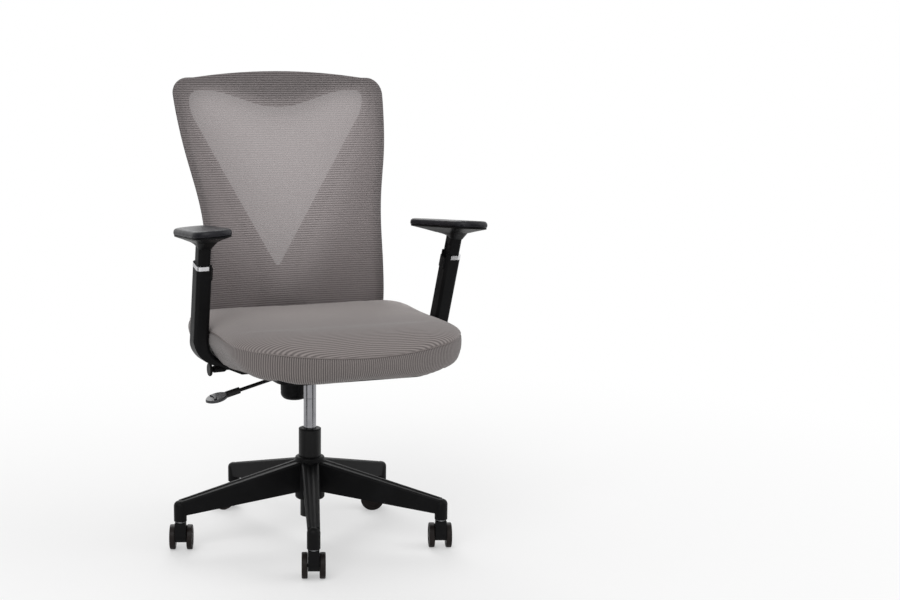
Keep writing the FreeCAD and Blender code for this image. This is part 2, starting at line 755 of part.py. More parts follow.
def build_mechanism():
    body = new_body("tilt_housing")
    bottom = S.tray_bottom
    top = S.tray_bottom + S.tray_depth
    half = S.tray_width * 0.5
    wall = S.sheet_wall
    front = -S.tray_front
    rear = S.tray_back
    pad(body, sketch_with(body, "XY_Plane", "tray", [round_box_path_between(-half, front, half, rear, 8)],
                          offset=bottom), S.tray_depth)
    flange = round_box_path_between(-S.flange_width * 0.5, front + 6, S.flange_width * 0.5, rear - 6, 8)
    pad(body, sketch_with(body, "XY_Plane", "flange", [flange], offset=top - wall), wall)
    inside = round_box_path_between(wall - half, front + wall, half - wall, rear - wall, 5)
    cut(body, sketch_with(body, "XY_Plane", "tray_inside", [inside], offset=top), S.tray_depth - wall)

    cone = S.tray_bottom - 11
    socket_top = cone + S.cone_length
    grip = S.cylinder_radius + 0.02
    turn(body, sketch_with(body, "XZ_Plane", "column_socket", [[
        (grip, cone),
        (grip + 6, cone),
        (grip + 8, cone + 9),
        (grip + 8, bottom + wall),
        (grip + 5, bottom + wall),
        (grip + 5, socket_top - 1),
        (grip - S.cone_drop, socket_top),
    ]]))
    turn(body, sketch_with(body, "XZ_Plane", "column_taper", [[
        (0, cone - 1),
        (grip, cone - 1),
        (grip, cone),
        (grip - S.cone_drop, socket_top),
        (0, socket_top),
    ]]), kind="Groove")

    # ribs that carry the height lever, and the slot it leaves by
    pivot_x, pivot_z = lever_pivot()
    across = S.lever_radius + 6
    ribs = [box_path(pivot_x - 8, S.lever_back + side * across - 2, pivot_x + 8, S.lever_back + side * across + 2)
            for side in (-1, 1)]
    rib_height = pivot_z + lever_pin() + 2 - bottom - wall
    pad(body, sketch_with(body, "XY_Plane", "ribs", ribs, offset=bottom + wall), rib_height)
    eye = sketch_with(body, "XZ_Plane", "lever_eye", circles=[(pivot_x, pivot_z, lever_pin() + S.running_gap)],
                      offset=-S.lever_back)
    cut(body, eye, across * 2 + 8, middle=True)
    room = S.lever_radius + 1.5
    ear = 4
    ears = [box_path(-half - 29, S.lever_back + a, -half + 1, S.lever_back + b)
            for a, b in ((room, room + ear), (-room - ear, -room))]
    pad(body, sketch_with(body, "XY_Plane", "ears", ears, offset=bottom - 7), S.tray_depth + 5)
    slot = box_path(-half - 1, S.lever_back - room, -half + 12, S.lever_back + room)
    cut(body, sketch_with(body, "XY_Plane", "lever_slot", [slot], offset=top - wall - 2), S.tray_depth)

    # tongue that carries the back pivot, the spring cup and the tension bolt
    end = S.spring_back + S.cup_radius
    arm = S.tongue_width * 0.5
    tongue = [(-arm, rear - wall), (arm, rear - wall), (arm, end - 8), Via((arm - 2.4, end - 2.4)),
              (arm - 8, end), (8 - arm, end), Via((2.4 - arm, end - 2.4)), (-arm, end - 8)]
    pad(body, sketch_with(body, "XY_Plane", "tongue", [tongue], offset=tongue_bottom()), tongue_height())
    cup = sketch_with(body, "XY_Plane", "cup", circles=[(0, S.spring_back, S.cup_radius)], offset=cup_bottom())
    pad(body, cup, tongue_bottom() - cup_bottom())
    hollow = sketch_with(body, "XY_Plane", "cup_inside", circles=[(0, S.spring_back, S.cup_radius - 4)],
                         offset=cup_bottom())
    cut(body, hollow, spring_length(), reverse=True)
    bore = sketch_with(body, "XY_Plane", "bolt_bore", circles=[(0, S.spring_back, bolt_radius() + S.running_gap)],
                       offset=cup_bottom())
    cut(body, bore, S.tray_depth + 20, reverse=True)
    recess = sketch_with(body, "XY_Plane", "bolt_recess", circles=[(0, S.spring_back, bolt_radius() + 4.5)],
                         offset=tongue_bottom() + tongue_height())
    cut(body, recess, 6)
    eye = sketch_with(body, "YZ_Plane", "pivot_eye", circles=[(S.pivot_back, pivot_height(), S.pivot_radius + 0.02)])
    cut(body, eye, S.tongue_width + 6, middle=True)
    holes = sketch_with(body, "XY_Plane", "flange_holes", circles=[(x, y, bolt_hole()) for x, y in flange_bolts()],
                        offset=top)
    cut(body, holes, wall)


def round_box_path_between(x0, y0, x1, y1, radius):
    return round_box_path((x1 - x0) * 0.5, (y1 - y0) * 0.5, radius, (x0 + x1) * 0.5, (y0 + y1) * 0.5)


def lever_pivot():
    """Where the height lever rocks: close beside the valve pin, so a small pull presses it a little."""
    return -(S.cylinder_radius + 8), S.tray_bottom + 14


def lever_pin():
    return S.lever_radius * 0.75


def tongue_height():
    return S.pivot_radius * 2 + 8


def tongue_bottom():
    return pivot_height() - tongue_height() * 0.5


def cup_bottom():
    return tongue_bottom() - 14


def spring_length():
    return tongue_bottom() - cup_bottom() + 8


def bolt_radius():
    return S.rod_radius * 0.8


def bolt_hole():
    return 3.05


def flange_bolts():
    x = S.flange_width * 0.5 - 12
    return [(sx * x, y) for sx in (-1, 1) for y in (-S.tray_front + 25, S.tray_back - 24)]


def build_back_pivot():
    length = S.bracket_width + 2
    place = (-length * 0.5, S.pivot_back, pivot_height())
    pin_rod = cylinder("pivot_rod", S.pivot_radius, length, place, Vector(1, 0, 0))
    bore = cylinder("pivot_bore", S.lever_radius + S.running_gap, length, place, Vector(1, 0, 0))
    keep(minus("pivot_cut", pin_rod, bore), "back_pivot_pin")


def build_tension():
    """Knob, its bolt and the coil spring of the tilt."""
    top = cup_bottom() - 0.5
    low = top - S.knob_height
    radius = S.knob_radius
    knob = turned_body("tension_knob", [
        (bolt_radius() + 0.02, low),
        (radius * 0.55, low),
        Via((radius * 0.85, low + 5)),
        (radius * 0.97, low + 17),
        (radius, top - 4),
        (radius - 2, top),
        (radius - 6, top),
        (radius - 7, top - 12),
        (bolt_radius() + 0.02, top - 12),
    ], y=S.spring_back)
    flute = sketch_with(knob, "XY_Plane", "flute", circles=[(radius + 1.4, 0, 2.6)], offset=low + 20)
    groove = cut(knob, flute, S.knob_height - 24, reverse=True)
    ring = knob.newObject("PartDesign::PolarPattern", "Flutes")
    ring.Originals = [groove]
    ring.Axis = (knob.Origin.OriginFeatures[2], [""])
    ring.Angle = 360
    ring.Occurrences = 16
    knob.Tip = ring
    doc.recompute()

    head = tongue_bottom() + tongue_height() - 6
    turned_body("tension_bolt", [
        (0, low + 4),
        (bolt_radius(), low + 4),
        (bolt_radius(), head),
        (bolt_radius() + 3.5, head),
        (bolt_radius() + 3.5, head + 4),
        (0, head + 4),
    ], y=S.spring_back)

    # flat wire, as on a die spring
    wire = 1.6
    coil = float(S.cup_radius) - 4 - wire - 0.6
    length = float(spring_length()) - 2 * wire - 0.6
    helix = Part.makeHelix(length / 3, length, coil)
    corners = [Vector(coil + x * wire, 0, z * wire) for x, z in ((-1, -1), (1, -1), (1, 1), (-1, 1), (-1, -1))]
    start = Part.makePolygon(corners)
    spring = Part.Wire(helix).makePipeShell([start], True, True)
    spring.translate(Vector(0, float(S.spring_back), float(cup_bottom()) + wire + 0.3))
    obj = doc.addObject("Part::Feature", "tension_spring")
    obj.Shape = spring
    keep(obj, "tension_spring")


def build_levers():
    """Height lever with its paddle, and the tilt lock lever in the hollow pivot."""
    pivot_x, pivot_z = lever_pivot()
    slope = math.radians(float(S.lever_slope))
    reach = S.lever_reach
    grip_from = reach - 66
    rod_length = (float(grip_from) + 26 + float(pivot_x)) / math.cos(slope)
    along = Vector(-math.cos(slope), 0, -math.sin(slope))
    start = Vector(float(pivot_x), float(S.lever_back), float(pivot_z))
    rod = cylinder("lever_rod", S.lever_radius, rod_length, start, along)
    cross = cylinder("lever_cross", lever_pin(), S.lever_radius * 2 + 15.6,
                     (pivot_x, S.lever_back - S.lever_radius - 7.8, pivot_z), Vector(0, 1, 0))
    tab_top = seat_plane() - 1.5
    tab = prism("lever_tab", [
        (pivot_x - 5, S.lever_back - 5),
        (pivot_x + 6, S.lever_back - 5),
        (5, -5),
        (5, 5),
        (-5, 5),
        (pivot_x - 5, S.lever_back + 5),
    ], "XY", float(tab_top) - 3.2, 3.2)
    web = prism("lever_web", box_path(pivot_x - 3, pivot_z, pivot_x + 3, tab_top - 1), "XZ",
                float(S.lever_back) - 3, 6)
    keep(combine("MultiFuse", "lever_parts", [rod, cross, web, tab]), "height_lever")

    grip = cylinder("grip_body", S.lever_radius + 3.2, 32, start + along * (rod_length - 26), along)
    bore = cylinder("grip_bore", S.lever_radius + 0.02, 26, start + along * (rod_length - 26), along)
    # the flat paddle leans a little forward
    paddle = prism("paddle_plate", [(-26, 0), Via((0, -20)), (26, 0), Via((0, 20))], "XY", 0, 6.5)
    ridge = prism("paddle_ridge", [(-6, -13), Via((-1, 0)), (-6, 13), (-11, 13), Via((-7, 0)), (-11, -13)],
                  "XY", 6, 3)
    shape = combine("MultiFuse", "paddle_blank", [paddle, ridge])
    doc.recompute()
    soft = rounded("paddle_soft", shape, 1.6, lambda edge: edge.Length > 60)
    centre = start + along * (rod_length + 26)
    tilt = Rotation(Vector(0, 1, 0), -float(S.lever_slope)).multiply(Rotation(Vector(1, 0, 0), 10))
    wrap = combine("Compound", "paddle_place", [soft])
    wrap.Placement = Placement(centre + Vector(0, 0, -3), tilt)
    solid = combine("MultiFuse", "grip_and_paddle", [grip, wrap])
    keep(minus("paddle_cut", solid, bore), "height_paddle")

    inner = S.tongue_width * 0.5 - 2
    lock_length = S.lock_reach - 8 + inner
    lock_place = (8 - S.lock_reach, S.pivot_back, pivot_height())
    keep(cylinder("lock_rod", S.lever_radius, lock_length, lock_place, Vector(1, 0, 0)), "tilt_lock_rod")
    knob = doc.addObject("PartDesign::Body", "lock_knob")
    turn(knob, sketch_with(knob, "XZ_Plane", "lock_profile", [[
        (0, 0),
        (12, 0),
        Via((14.3, 0.7)),
        (15, 3),
        Via((14.3, 5.3)),
        (12, 6),
        (5, 6.5),
        (5.5, 9),
        (8, 12),
        (7.4, 36),
        (S.lever_radius + 1.5, 40),
        (S.lever_radius + 0.02, 40),
        (S.lever_radius + 0.02, 8),
        (0, 8),
    ]]))
    knob.Placement = Placement(Vector(-float(S.lock_reach), float(S.pivot_back), float(pivot_height())),
                               Rotation(Vector(0, 1, 0), 90))
    keep(knob, "tilt_lock_knob")


# ---------------------------------------------------------------- seat

def cushion_plan():
    """Outline from above: straight sides, round front corners that run into a wide front arc."""
    half = S.seat_half_width
    front = -S.seat_front
    rear = S.seat_rear
    radius = S.seat_corner
    run = math.radians(24)
    middle = (math.pi / 2 + run) / 2
    corner_x = half - radius * (1 - math.sin(run))
    corner_y = front + corner_x * math.tan(run / 2)
    side_y = corner_y + radius * math.cos(run)
    bend = (half - radius * (1 - math.sin(middle)), side_y - radius * math.cos(middle))
    right = [
        (half - 36, rear - 22),
        Via((half - 12, rear - 34)),
        (half, rear - 60),
        (half, side_y),
        Via(bend),
        (corner_x, corner_y),
    ]
    return right + [Via((Size(0, "0"), front))] + flip(right) + [Via((Size(0, "0"), rear))]


def build_seat():
    half = S.seat_half_width
    front = -S.seat_front
    rear = S.seat_rear
    under = seat_underside()
    top = seat_top()
    plan = prism("cushion_plan", cushion_plan(), "XY", float(under) - 20, S.seat_thick + 40)
    side_view = prism("cushion_side", [
        (rear, top - 26),
        Via((rear - 4, top - 9)),
        (rear - 26, top - 1),
        Via((rear - 160, top - 3)),
        (rear - 310, top - 12),
        Via((front + 32, top - 30)),
        (front, top - 64),
        Via((front + 12, under + 11)),
        (front + 48, under),
        (rear - 50, under),
        Via((rear - 14, under + 12)),
        (rear, under + 34),
    ], "YZ", -AMPLE / 2, AMPLE)
    shoulder = [
        (half - 130, under),
        (half - 62, under + 11),
        Via((half - 20, under + 32)),
        (half, top - 40),
        Via((half - 6, top - 14)),
        (half - 30, top - 3),
    ]
    front_view = prism("cushion_front", shoulder + [Via((Size(0, "0"), top))] + flip(shoulder),
                       "XZ", -AMPLE / 2, AMPLE)
    keep(combine("MultiCommon", "cushion", [plan, side_view, front_view]), "seat_cushion")

    pan_half = arm_bolt_span() + S.pan_margin
    outline = round_box_path_between(-pan_half, front + 60, pan_half, rear - 50, 40)
    holes = [(x, y, bolt_hole()) for x, y in flange_bolts() + arm_bolts()]
    pan = prism("pan_plate", outline, "XY", float(seat_plane()), S.pan_thickness, holes)
    keep(pan, "seat_pan")

    bolts = []
    for k, (x, y) in enumerate(flange_bolts() + arm_bolts()):
        seat = seat_plane() - (S.sheet_wall if k < 4 else S.bar_thick)
        head = cylinder(f"bolt_head_{k}", 5.5, 3.4, (x, y, seat - 3.4))
        shank = cylinder(f"bolt_shank_{k}", 3, seat_plane() + S.pan_thickness - 0.5 - seat + 1, (x, y, seat - 1))
        bolts.append(combine("MultiFuse", f"bolt_{k}", [head, shank]))
    doc.recompute()
    keep(combine("Compound", "bolts", bolts), "seat_bolts")


def arm_bolt_span():
    """The outer arm bolts from the middle."""
    return S.flange_width * 0.5 + 22 + S.bolt_pitch


def arm_bolts():
    y = arm_centre_y(float(seat_plane()))
    return [(sx * x, y) for sx in (-1, 1) for x in (arm_bolt_span() - S.bolt_pitch, arm_bolt_span())]


# ---------------------------------------------------------------- arms

def arm_centre_y(height):
    """Y place of the arm's middle line at a height, along its lean."""
    lean = math.tan(math.radians(float(S.arm_lean)))
    return float(S.arm_back) - lean * (height - float(elbow_height()) - 11)


def elbow_height():
    return seat_plane() + S.elbow_rise


def sleeve_top():
    return elbow_height() + S.sleeve_length


def arm_half_span():
    """Middle of the sleeve at the elbow, beside the cushion."""
    return S.seat_half_width + S.arm_gap + S.sleeve_thick * 0.5


def arm_slant():
    """Sideways run of the post for each millimetre of height."""
    return math.tan(math.radians(float(S.arm_spread)))


def arm_frame():
    """The frame at the mouth of the left sleeve, its Z along the leaning post."""
    top = float(sleeve_top())
    x = float(arm_half_span()) + arm_slant() * float(S.sleeve_length)
    lean = Rotation(Vector(0, 1, 0), float(S.arm_spread)).multiply(Rotation(Vector(1, 0, 0), float(S.arm_lean)))
    return Placement(Vector(x, arm_centre_y(top), top), lean)


def arm_prism(name, path, start, length, circles=()):
    """An extrusion drawn across the arm post, in the frame of the sleeve's mouth."""
    solid = prism(name, path, "XY", 0, length, circles)
    frame = arm_frame().multiply(Placement(Vector(0, 0, float(start)), Rotation()))
    solid.Base.Placement = frame
    solid.Dir = frame.Rotation.multVec(Vector(0, 0, 1))
    return solid


def build_arms():
    left = arm_half_span() + S.sleeve_thick * 0.5
    right = arm_half_span() - S.sleeve_thick * 0.5
    bend = elbow_height()
    plate = seat_plane()
    bar = S.bar_thick
    top = sleeve_top() + 40
    spread = arm_slant() * (S.sleeve_length + 40)
    front_view = prism("arm_front", [
        (right + spread, top),
        (right, bend),
        Via((right - 9, bend - 29)),
        (right - 30, bend - 47),
        (right - 78, plate - 0.02),
        (S.flange_width * 0.5 + 6, plate - 0.02),
        (S.flange_width * 0.5 + 6, plate - bar),
        (left - 112, plate - bar),
        (left - 60, bend - 60),
        Via((left - 18, bend - 39)),
        (left, bend - 3),
        (left + spread, top),
    ], "XZ", -AMPLE / 2, AMPLE / 2)
    low = float(plate - bar) - 20
    high = float(top)
    reach = float(S.sleeve_deep) / 2 / math.cos(math.radians(float(S.arm_lean)))
    side_view = prism("arm_side", [
        (arm_centre_y(low) - reach, low),
        (arm_centre_y(low) + reach, low),
        (arm_centre_y(high) + reach, high),
        (arm_centre_y(high) - reach, high),
    ], "YZ", 0, AMPLE)
    blank = combine("MultiCommon", "arm_blank", [front_view, side_view])
    soft = rounded("arm_soft", blank, 7.5, lambda edge: edge.BoundBox.ZLength > float(S.sleeve_length))
    play = S.running_gap
    cavity = arm_prism("sleeve_cavity", round_box_path(S.post_thick * 0.5 + play, S.post_deep * 0.5 + play, 7),
                       -S.post_hidden - 45, S.post_hidden + 60)
    slot_half = S.button_width * 0.5 + 0.2
    slot = arm_prism("button_slot", box_path(
        -S.sleeve_thick * 0.5 - 2, -slot_half, -S.post_thick * 0.5 + 3, slot_half), -25.5, 60)
    # the mouth: its outer part stops under the trim band, its inner part stands as high as the band
    half_thick = S.sleeve_thick
    outer_trim = arm_prism("mouth_outer", box_path(band_start(), -half_thick, half_thick, half_thick), 0, 90)
    inner_trim = arm_prism("mouth_inner", box_path(-half_thick, -half_thick, band_start(), half_thick),
                           S.band_height + 1, 90)
    bolt_tools = [cylinder(f"arm_hole_{k}", bolt_hole(), bar + 2, (x, y, plate - bar - 1))
                  for k, (x, y) in enumerate(arm_bolts()) if float(x) > 0]
    keep(minus("arm_cut", soft, outer_trim, inner_trim, cavity, slot, *bolt_tools), "arm_upright_left")

    ring = arm_prism("band_ring", round_box_path(S.sleeve_thick * 0.5 + 0.6, S.sleeve_deep * 0.5 + 0.6, 9),
                     0.05, S.band_height)
    hole = arm_prism("band_hole", round_box_path(S.post_thick * 0.5 + 0.3, S.post_deep * 0.5 + 0.3, 7), 0,
                     S.band_height + 1)
    gap = arm_prism("band_gap", box_path(-half_thick, -half_thick, band_start() + 0.1, half_thick), 0,
                    S.band_height + 1)
    keep(minus("band_cut", ring, hole, gap), "trim_band_left")

    back_face = S.post_thick * 0.5 + 0.4
    button = arm_prism("button_block", round_box_path_between(
        -back_face - 5.4, -S.button_width * 0.5, -back_face, S.button_width * 0.5, 1.8), -25, 26)
    keep(button, "arm_button_left")

    post = arm_prism("post_blank", round_box_path(S.post_thick * 0.5, S.post_deep * 0.5, 7), -S.post_hidden,
                     S.post_hidden + S.post_shown)
    rack = arm_prism("post_rack", box_path(-S.post_thick * 0.5 - 1, -S.button_width * 0.5 - 1,
                                           S.button_travel + 1 - S.post_thick * 0.5, S.button_width * 0.5 + 1),
                     -S.post_hidden - 1, S.post_hidden + 32)
    post_cut = minus("post_cut", post, rack)
    doc.recompute()

    pad_frame = pad_placement()
    foot = (S.post_thick * 0.5 + 1.5, S.post_deep * 0.5 + 2)
    rim = (S.pad_width * 0.5 - 1, S.pad_length * 0.5 - 1)
    low_sk = new_sketch(None, None, "carrier_foot", placement=arm_frame().multiply(
        Placement(Vector(0, 0, float(S.post_shown) - 4), Rotation())))
    draw_path(low_sk, round_box_path(*foot, 8))
    sections = [low_sk]
    # the carrier flares like a trumpet: depth under the pad, and how far it has opened
    for k, (drop, opened) in enumerate(((13.5, 0.27), (8, 0.62), (3, 1))):
        half_x, half_y = ((wide - narrow) * opened + narrow for narrow, wide in zip(foot, rim))
        flare = new_sketch(None, None, f"carrier_flare_{k}", placement=pad_frame.multiply(
            Placement(Vector(0, 0, -drop), Rotation())))
        corner = S.pad_corner if opened == 1 else half_x * 0.8
        draw_path(flare, round_box_path(half_x, half_y, corner, 0, 20 * (opened - 1)))
        sections.append(flare)
    rim_sk = new_sketch(None, None, "carrier_top", placement=pad_frame.multiply(
        Placement(Vector(0, 0, -0.02), Rotation())))
    draw_path(rim_sk, round_box_path(rim[0] + 0.4, rim[1] + 0.4, S.pad_corner))
    boat = doc.addObject("Part::Loft", "carrier_boat")
    boat.Sections = sections + [rim_sk]
    boat.Solid = True
    boat.Ruled = True
    keep(combine("MultiFuse", "arm_post_blank", [post_cut, boat]), "arm_post_left")

    pad_block = prism("pad_block", round_box_path(S.pad_width * 0.5, S.pad_length * 0.5, S.pad_corner), "XY", 0,
                      S.pad_thick)
    pad_block.Base.Placement = pad_frame
    pad_block.Dir = pad_frame.Rotation.multVec(Vector(0, 0, 1))
    doc.recompute()
    lid = pad_frame.multVec(Vector(0, 0, float(S.pad_thick)))
    normal = pad_frame.Rotation.multVec(Vector(0, 0, 1))
    pad_soft = rounded("pad_soft", pad_block, 7, lambda edge: all(
        abs((vertex.Point - lid).dot(normal)) < 1e-4 for vertex in edge.Vertexes))
    keep(pad_soft, "arm_pad_left")

    for name in ("arm_upright", "trim_band", "arm_button", "arm_post", "arm_pad"):
        source = [obj for obj in nodes if obj.Label == f"{name}_left"][0]
        mirrored(source, f"{name}_right")


def band_start():
    """X place in the sleeve's frame where the trim band ends towards the sitter."""
    return -S.sleeve_thick * 0.25


def pad_placement():
    """The plane between the arm pad and its carrier."""
    turn_out = Rotation(Vector(0, 0, 1), float(S.pad_splay))
    pitch = Rotation(Vector(1, 0, 0), -float(S.pad_pitch))
    roll = Rotation(Vector(0, 1, 0), float(S.pad_roll))
    mouth = arm_frame()
    post_top = mouth.multVec(Vector(0, 0, float(S.post_shown)))
    x = mouth.Base.x - float(S.pad_inset)
    return Placement(Vector(x, float(S.pad_back), post_top.z + float(S.carrier_depth)),
                     turn_out.multiply(pitch).multiply(roll))


# ---------------------------------------------------------------- back

# Heights on the back are shares of its height above its lowest point.
# Side line: share, and Y place of the rim's front face behind the rear edge of the cushion
SIDE_LINE = [(-0.019, 25), (0.039, 1), (0.123, -19), (0.225, -31), (0.326, -34), (0.418, -26), (0.553, -2),
             (0.689, 25), (0.824, 55), (0.936, 78), (1.017, 91)]
# how far the middle of the back lies behind its sides
MIDDLE_SAG = [(-0.019, 30), (0.123, 28), (0.326, 22), (0.553, 13), (0.824, 5), (1.017, 0)]


def between(table, share):
    """Straight-line reading of a table of (share, value) pairs."""
    for (s0, v0), (s1, v1) in zip(table, table[1:]):
        if share <= s1:
            return v0 + (v1 - v0) * (share - s0) / (s1 - s0)
    return table[-1][1]


def lift(share):
    """Height above the floor of a share of the back."""
    return back_bottom() + S.back_height * share


def share_at(height):
    return (height - float(back_bottom())) / float(S.back_height)


def smooth_edge(points):
    curve = Part.BSplineCurve()
    curve.interpolate(points)
    return curve.toShape()


def back_line(share, front=0.0):
    """Points up the back's front face, at a share of the way from the middle to the side."""
    x = share * (float(S.back_shoulder) + 15)
    rear = float(S.seat_rear) + front
    return [Vector(x, rear + y + between(MIDDLE_SAG, up) * (1 - share * share), float(lift(up)))
            for up, y in SIDE_LINE]


def depth_at(x, height):
    """Y place of the rim's front face."""
    curve = smooth_edge(back_line(x / (float(S.back_shoulder) + 15)))
    level = Part.makePlane(AMPLE, AMPLE, Vector(-AMPLE / 2, -AMPLE / 2, height))
    return curve.section(level).Vertexes[0].Y


def back_slab(front, depth):
    """A sheet that follows the curved back: front is its offset from the rim's front face."""
    sections = []
    for share in (-1, -0.5, 0, 0.5, 1):
        line = back_line(share, front)
        rear = [point + Vector(0, depth, 0) for point in line]
        sections.append(Part.Wire([
            smooth_edge(line),
            Part.makeLine(line[-1], rear[-1]),
            smooth_edge(rear[::-1]),
            Part.makeLine(rear[0], line[0]),
        ]))
    return Part.makeLoft(sections, True, False)


def half_widths():
    """Half the width of the back outside the rim, from the hip to the shoulder, by share of its height."""
    hip = float(S.back_hip)
    waist = float(S.back_waist)
    shoulder = float(S.back_shoulder)
    return [(0.073, hip), (0.259, waist + 3.5), (0.418, waist), (0.553, waist + 9), (0.689, waist + 25),
            (0.824, shoulder - 4), (0.915, shoulder)]


def half_width(height):
    return between(half_widths(), share_at(height))


def back_outline(inset):
    """Face of the back's outline seen from the front, moved inwards by an inset."""
    low = float(back_bottom())
    high = float(back_top())
    hip = float(S.back_hip) - inset
    shoulder = float(S.back_shoulder) - inset
    side = [Vector(width - inset, 0, float(lift(share))) for share, width in half_widths()]

    def mirror(point):
        return Vector(-point.x, 0, point.z)

    corner = [side[-1], Vector(shoulder - 10, 0, high - 25 - inset * 0.6),
              Vector(shoulder - 44, 0, high - 15 - inset)]
    foot = [Vector(hip - 22, 0, low + 18 + inset), Vector(hip - 5, 0, low + 27 + inset * 0.5), side[0]]
    crown = Vector(0, 0, high - inset)
    sole = Vector(0, 0, low + inset)
    wire = Part.Wire([
        smooth_edge(side),
        Part.Arc(*corner).toShape(),
        Part.Arc(corner[2], crown, mirror(corner[2])).toShape(),
        Part.Arc(*[mirror(point) for point in corner[::-1]]).toShape(),
        smooth_edge([mirror(point) for point in side[::-1]]),
        Part.Arc(*[mirror(point) for point in foot[::-1]]).toShape(),
        Part.Arc(mirror(foot[0]), sole, foot[0]).toShape(),
        Part.Arc(*foot).toShape(),
    ])
    return Part.Face(wire)


def outline_block(inset):
    return back_outline(inset).extrude(Vector(0, AMPLE, 0))


def feature(label, shape):
    obj = doc.addObject("Part::Feature", label)
    obj.Shape = shape
    return keep(obj, label)


def build_back_frame():
    ring = outline_block(0).cut(outline_block(float(S.rim_width)))
    rim = ring.common(back_slab(0, float(S.rim_depth)))
    feature("rim_frame", rim.Solids[0])
    gap = float(S.seat_gap)
    sheet_solid = outline_block(1).common(back_slab(-gap - float(S.mesh_thick), float(S.mesh_thick)))
    feature("front_mesh", sheet_solid.Solids[0])

    spine = doc.addObject("PartDesign::Body", "spine_blank")
    foot = back_bottom()
    top = back_top() - S.rim_width + 4
    half = [
        (68, foot),
        (67.5, lift(0.042)),
        Via((53, lift(0.117))),
        (45, lift(0.195)),
        Via((50, lift(0.259))),
        (71, lift(0.335)),
        (209, lift(0.787)),
        Via((226, lift(0.855))),
        (229.5, lift(0.902)),
        Via((222, lift(0.934))),
        (196, lift(0.956)),
    ]
    outline = half + [Via((Size(0, "0"), top))] + flip(half)
    draw = sketch_with(spine, "XZ_Plane", "spine_outline", [outline])
    pad(spine, draw, AMPLE, middle=True)
    inner = [
        (12, lift(0.269)),
        (199, lift(0.821)),
        Via((208.5, lift(0.86))),
        (211, lift(0.893)),
        Via((205.5, lift(0.918))),
        (188, lift(0.929)),
        (170, lift(0.929)),
        Via((145, lift(0.9255))),
        (118, lift(0.9145)),
        (55, lift(0.8805)),
    ]
    window = inner + [Via((Size(0, "0"), lift(0.8655)))] + flip(inner) + [Via((Size(0, "0"), lift(0.254)))]
    cut(spine, sketch_with(spine, "XZ_Plane", "spine_window", [window]), AMPLE, middle=True)
    rear = spine_rear()
    deep = S.spine_depth
    waist = lift(0.276)
    far = AMPLE / 2
    behind = [(rear - 26, foot - 20), Via((rear - 11, lift(0.1235))), (rear, waist), Via((rear + 1.5, lift(0.597))),
              (rear - 2, back_top() + 10), (far, back_top() + 10), (far, foot - 20)]
    ahead = [(spine_foot_front(), foot - 20), (-far, foot - 20), (-far, back_top() + 10),
             (rear - deep, back_top() + 10), Via((rear - deep + 1.5, lift(0.597))), (rear - deep, waist),
             Via((rear - deep - 10, lift(0.2))), (spine_foot_front(), foot + S.plate_rise + 4)]
    cut(spine, sketch_with(spine, "YZ_Plane", "spine_rear_cut", [behind]), AMPLE, middle=True)
    cut(spine, sketch_with(spine, "YZ_Plane", "spine_front_cut", [ahead]), AMPLE, middle=True)
    side = S.bracket_width * 0.5 + 0.05
    seat = sketch_with(spine, "XZ_Plane", "plate_seat", [box_path(-side, foot - 30, side, foot + S.plate_rise + 0.1)],
                       offset=-spine_foot_front())
    cut(spine, seat, S.bracket_thick + 0.02)
    holes = sketch_with(spine, "XZ_Plane", "screw_holes", circles=[(x, z, 2.52) for x, z in back_screw_places()],
                        offset=-spine_foot_front())
    cut(spine, holes, S.bracket_thick + 8)
    room = doc.addObject("Part::Feature", "inside_of_rim")
    low = Part.makeBox(200, AMPLE, float(S.back_height) * 0.42, Vector(-100, 0, float(foot) - 50))
    room.Shape = outline_block(float(S.rim_width + S.seat_gap)).fuse(low)
    trimmed = doc.addObject("Part::Common", "spine_trimmed")
    trimmed.Base = spine
    trimmed.Tool = room
    keep(trimmed, "back_spine")


def spine_foot_front():
    """Y place of the flat front of the spine's foot, just behind the lowest part of the rim."""
    return S.seat_rear + 47.5 + S.rim_depth


def spine_rear():
    """Y place of the rear face of the spine at its waist."""
    return spine_foot_front() + S.spine_stand + S.spine_depth


def back_screw_places():
    return [(sx * 15, back_bottom() + up) for sx in (-1, 1) for up in (22, 46)]


def flip(points):
    """The same points on the other side, in reverse order."""
    return [type(point)((-point[0], point[1])) for point in points[::-1]]


def spine_edge(height):
    """Outer edge of the spine at a height above the floor."""
    table = [(0, 68), (0.042, 67.5), (0.117, 53), (0.195, 45), (0.259, 50), (0.335, 71), (0.787, 209),
             (0.82, 219.2), (0.855, 226)]
    return between(table, share_at(height))


def spine_middle(height):
    """Y place of the middle of the spine's side face at a height."""
    table = [(-0.034, -26), (0.1235, -11), (0.276, 0), (0.597, 1.5), (1.015, 0)]
    return float(spine_rear()) + between(table, share_at(height)) - float(S.spine_depth) * 0.5


def build_rear_mesh():
    """Two panels from the rim's rear face to the sides of the spine."""
    thick = float(S.mesh_thick)
    gap = float(S.seat_gap)
    shares = (-0.019, 0.042, 0.117, 0.195, 0.259, 0.335, 0.462, 0.597, 0.733, 0.787, 0.82, 0.851)
    heights = [float(lift(share)) for share in shares]
    behind_rim = float(S.rim_depth) + 1.2
    panels = []
    for side in (1, -1):
        sections = []
        for z in heights:
            edge = half_width(z) - 3
            outer = Vector(side * edge, depth_at(edge, z) + behind_rim, z)
            inner = Vector(side * (spine_edge(z) + gap + 0.7), spine_middle(z), z)
            push = Vector(0, thick, 0)
            sections.append(Part.makePolygon([outer, inner, inner + push, outer + push, outer]))
        panels.append(Part.makeLoft(sections, True, True).common(outline_block(1.5)).Solids[0])
    feature("rear_mesh", Part.makeCompound(panels))


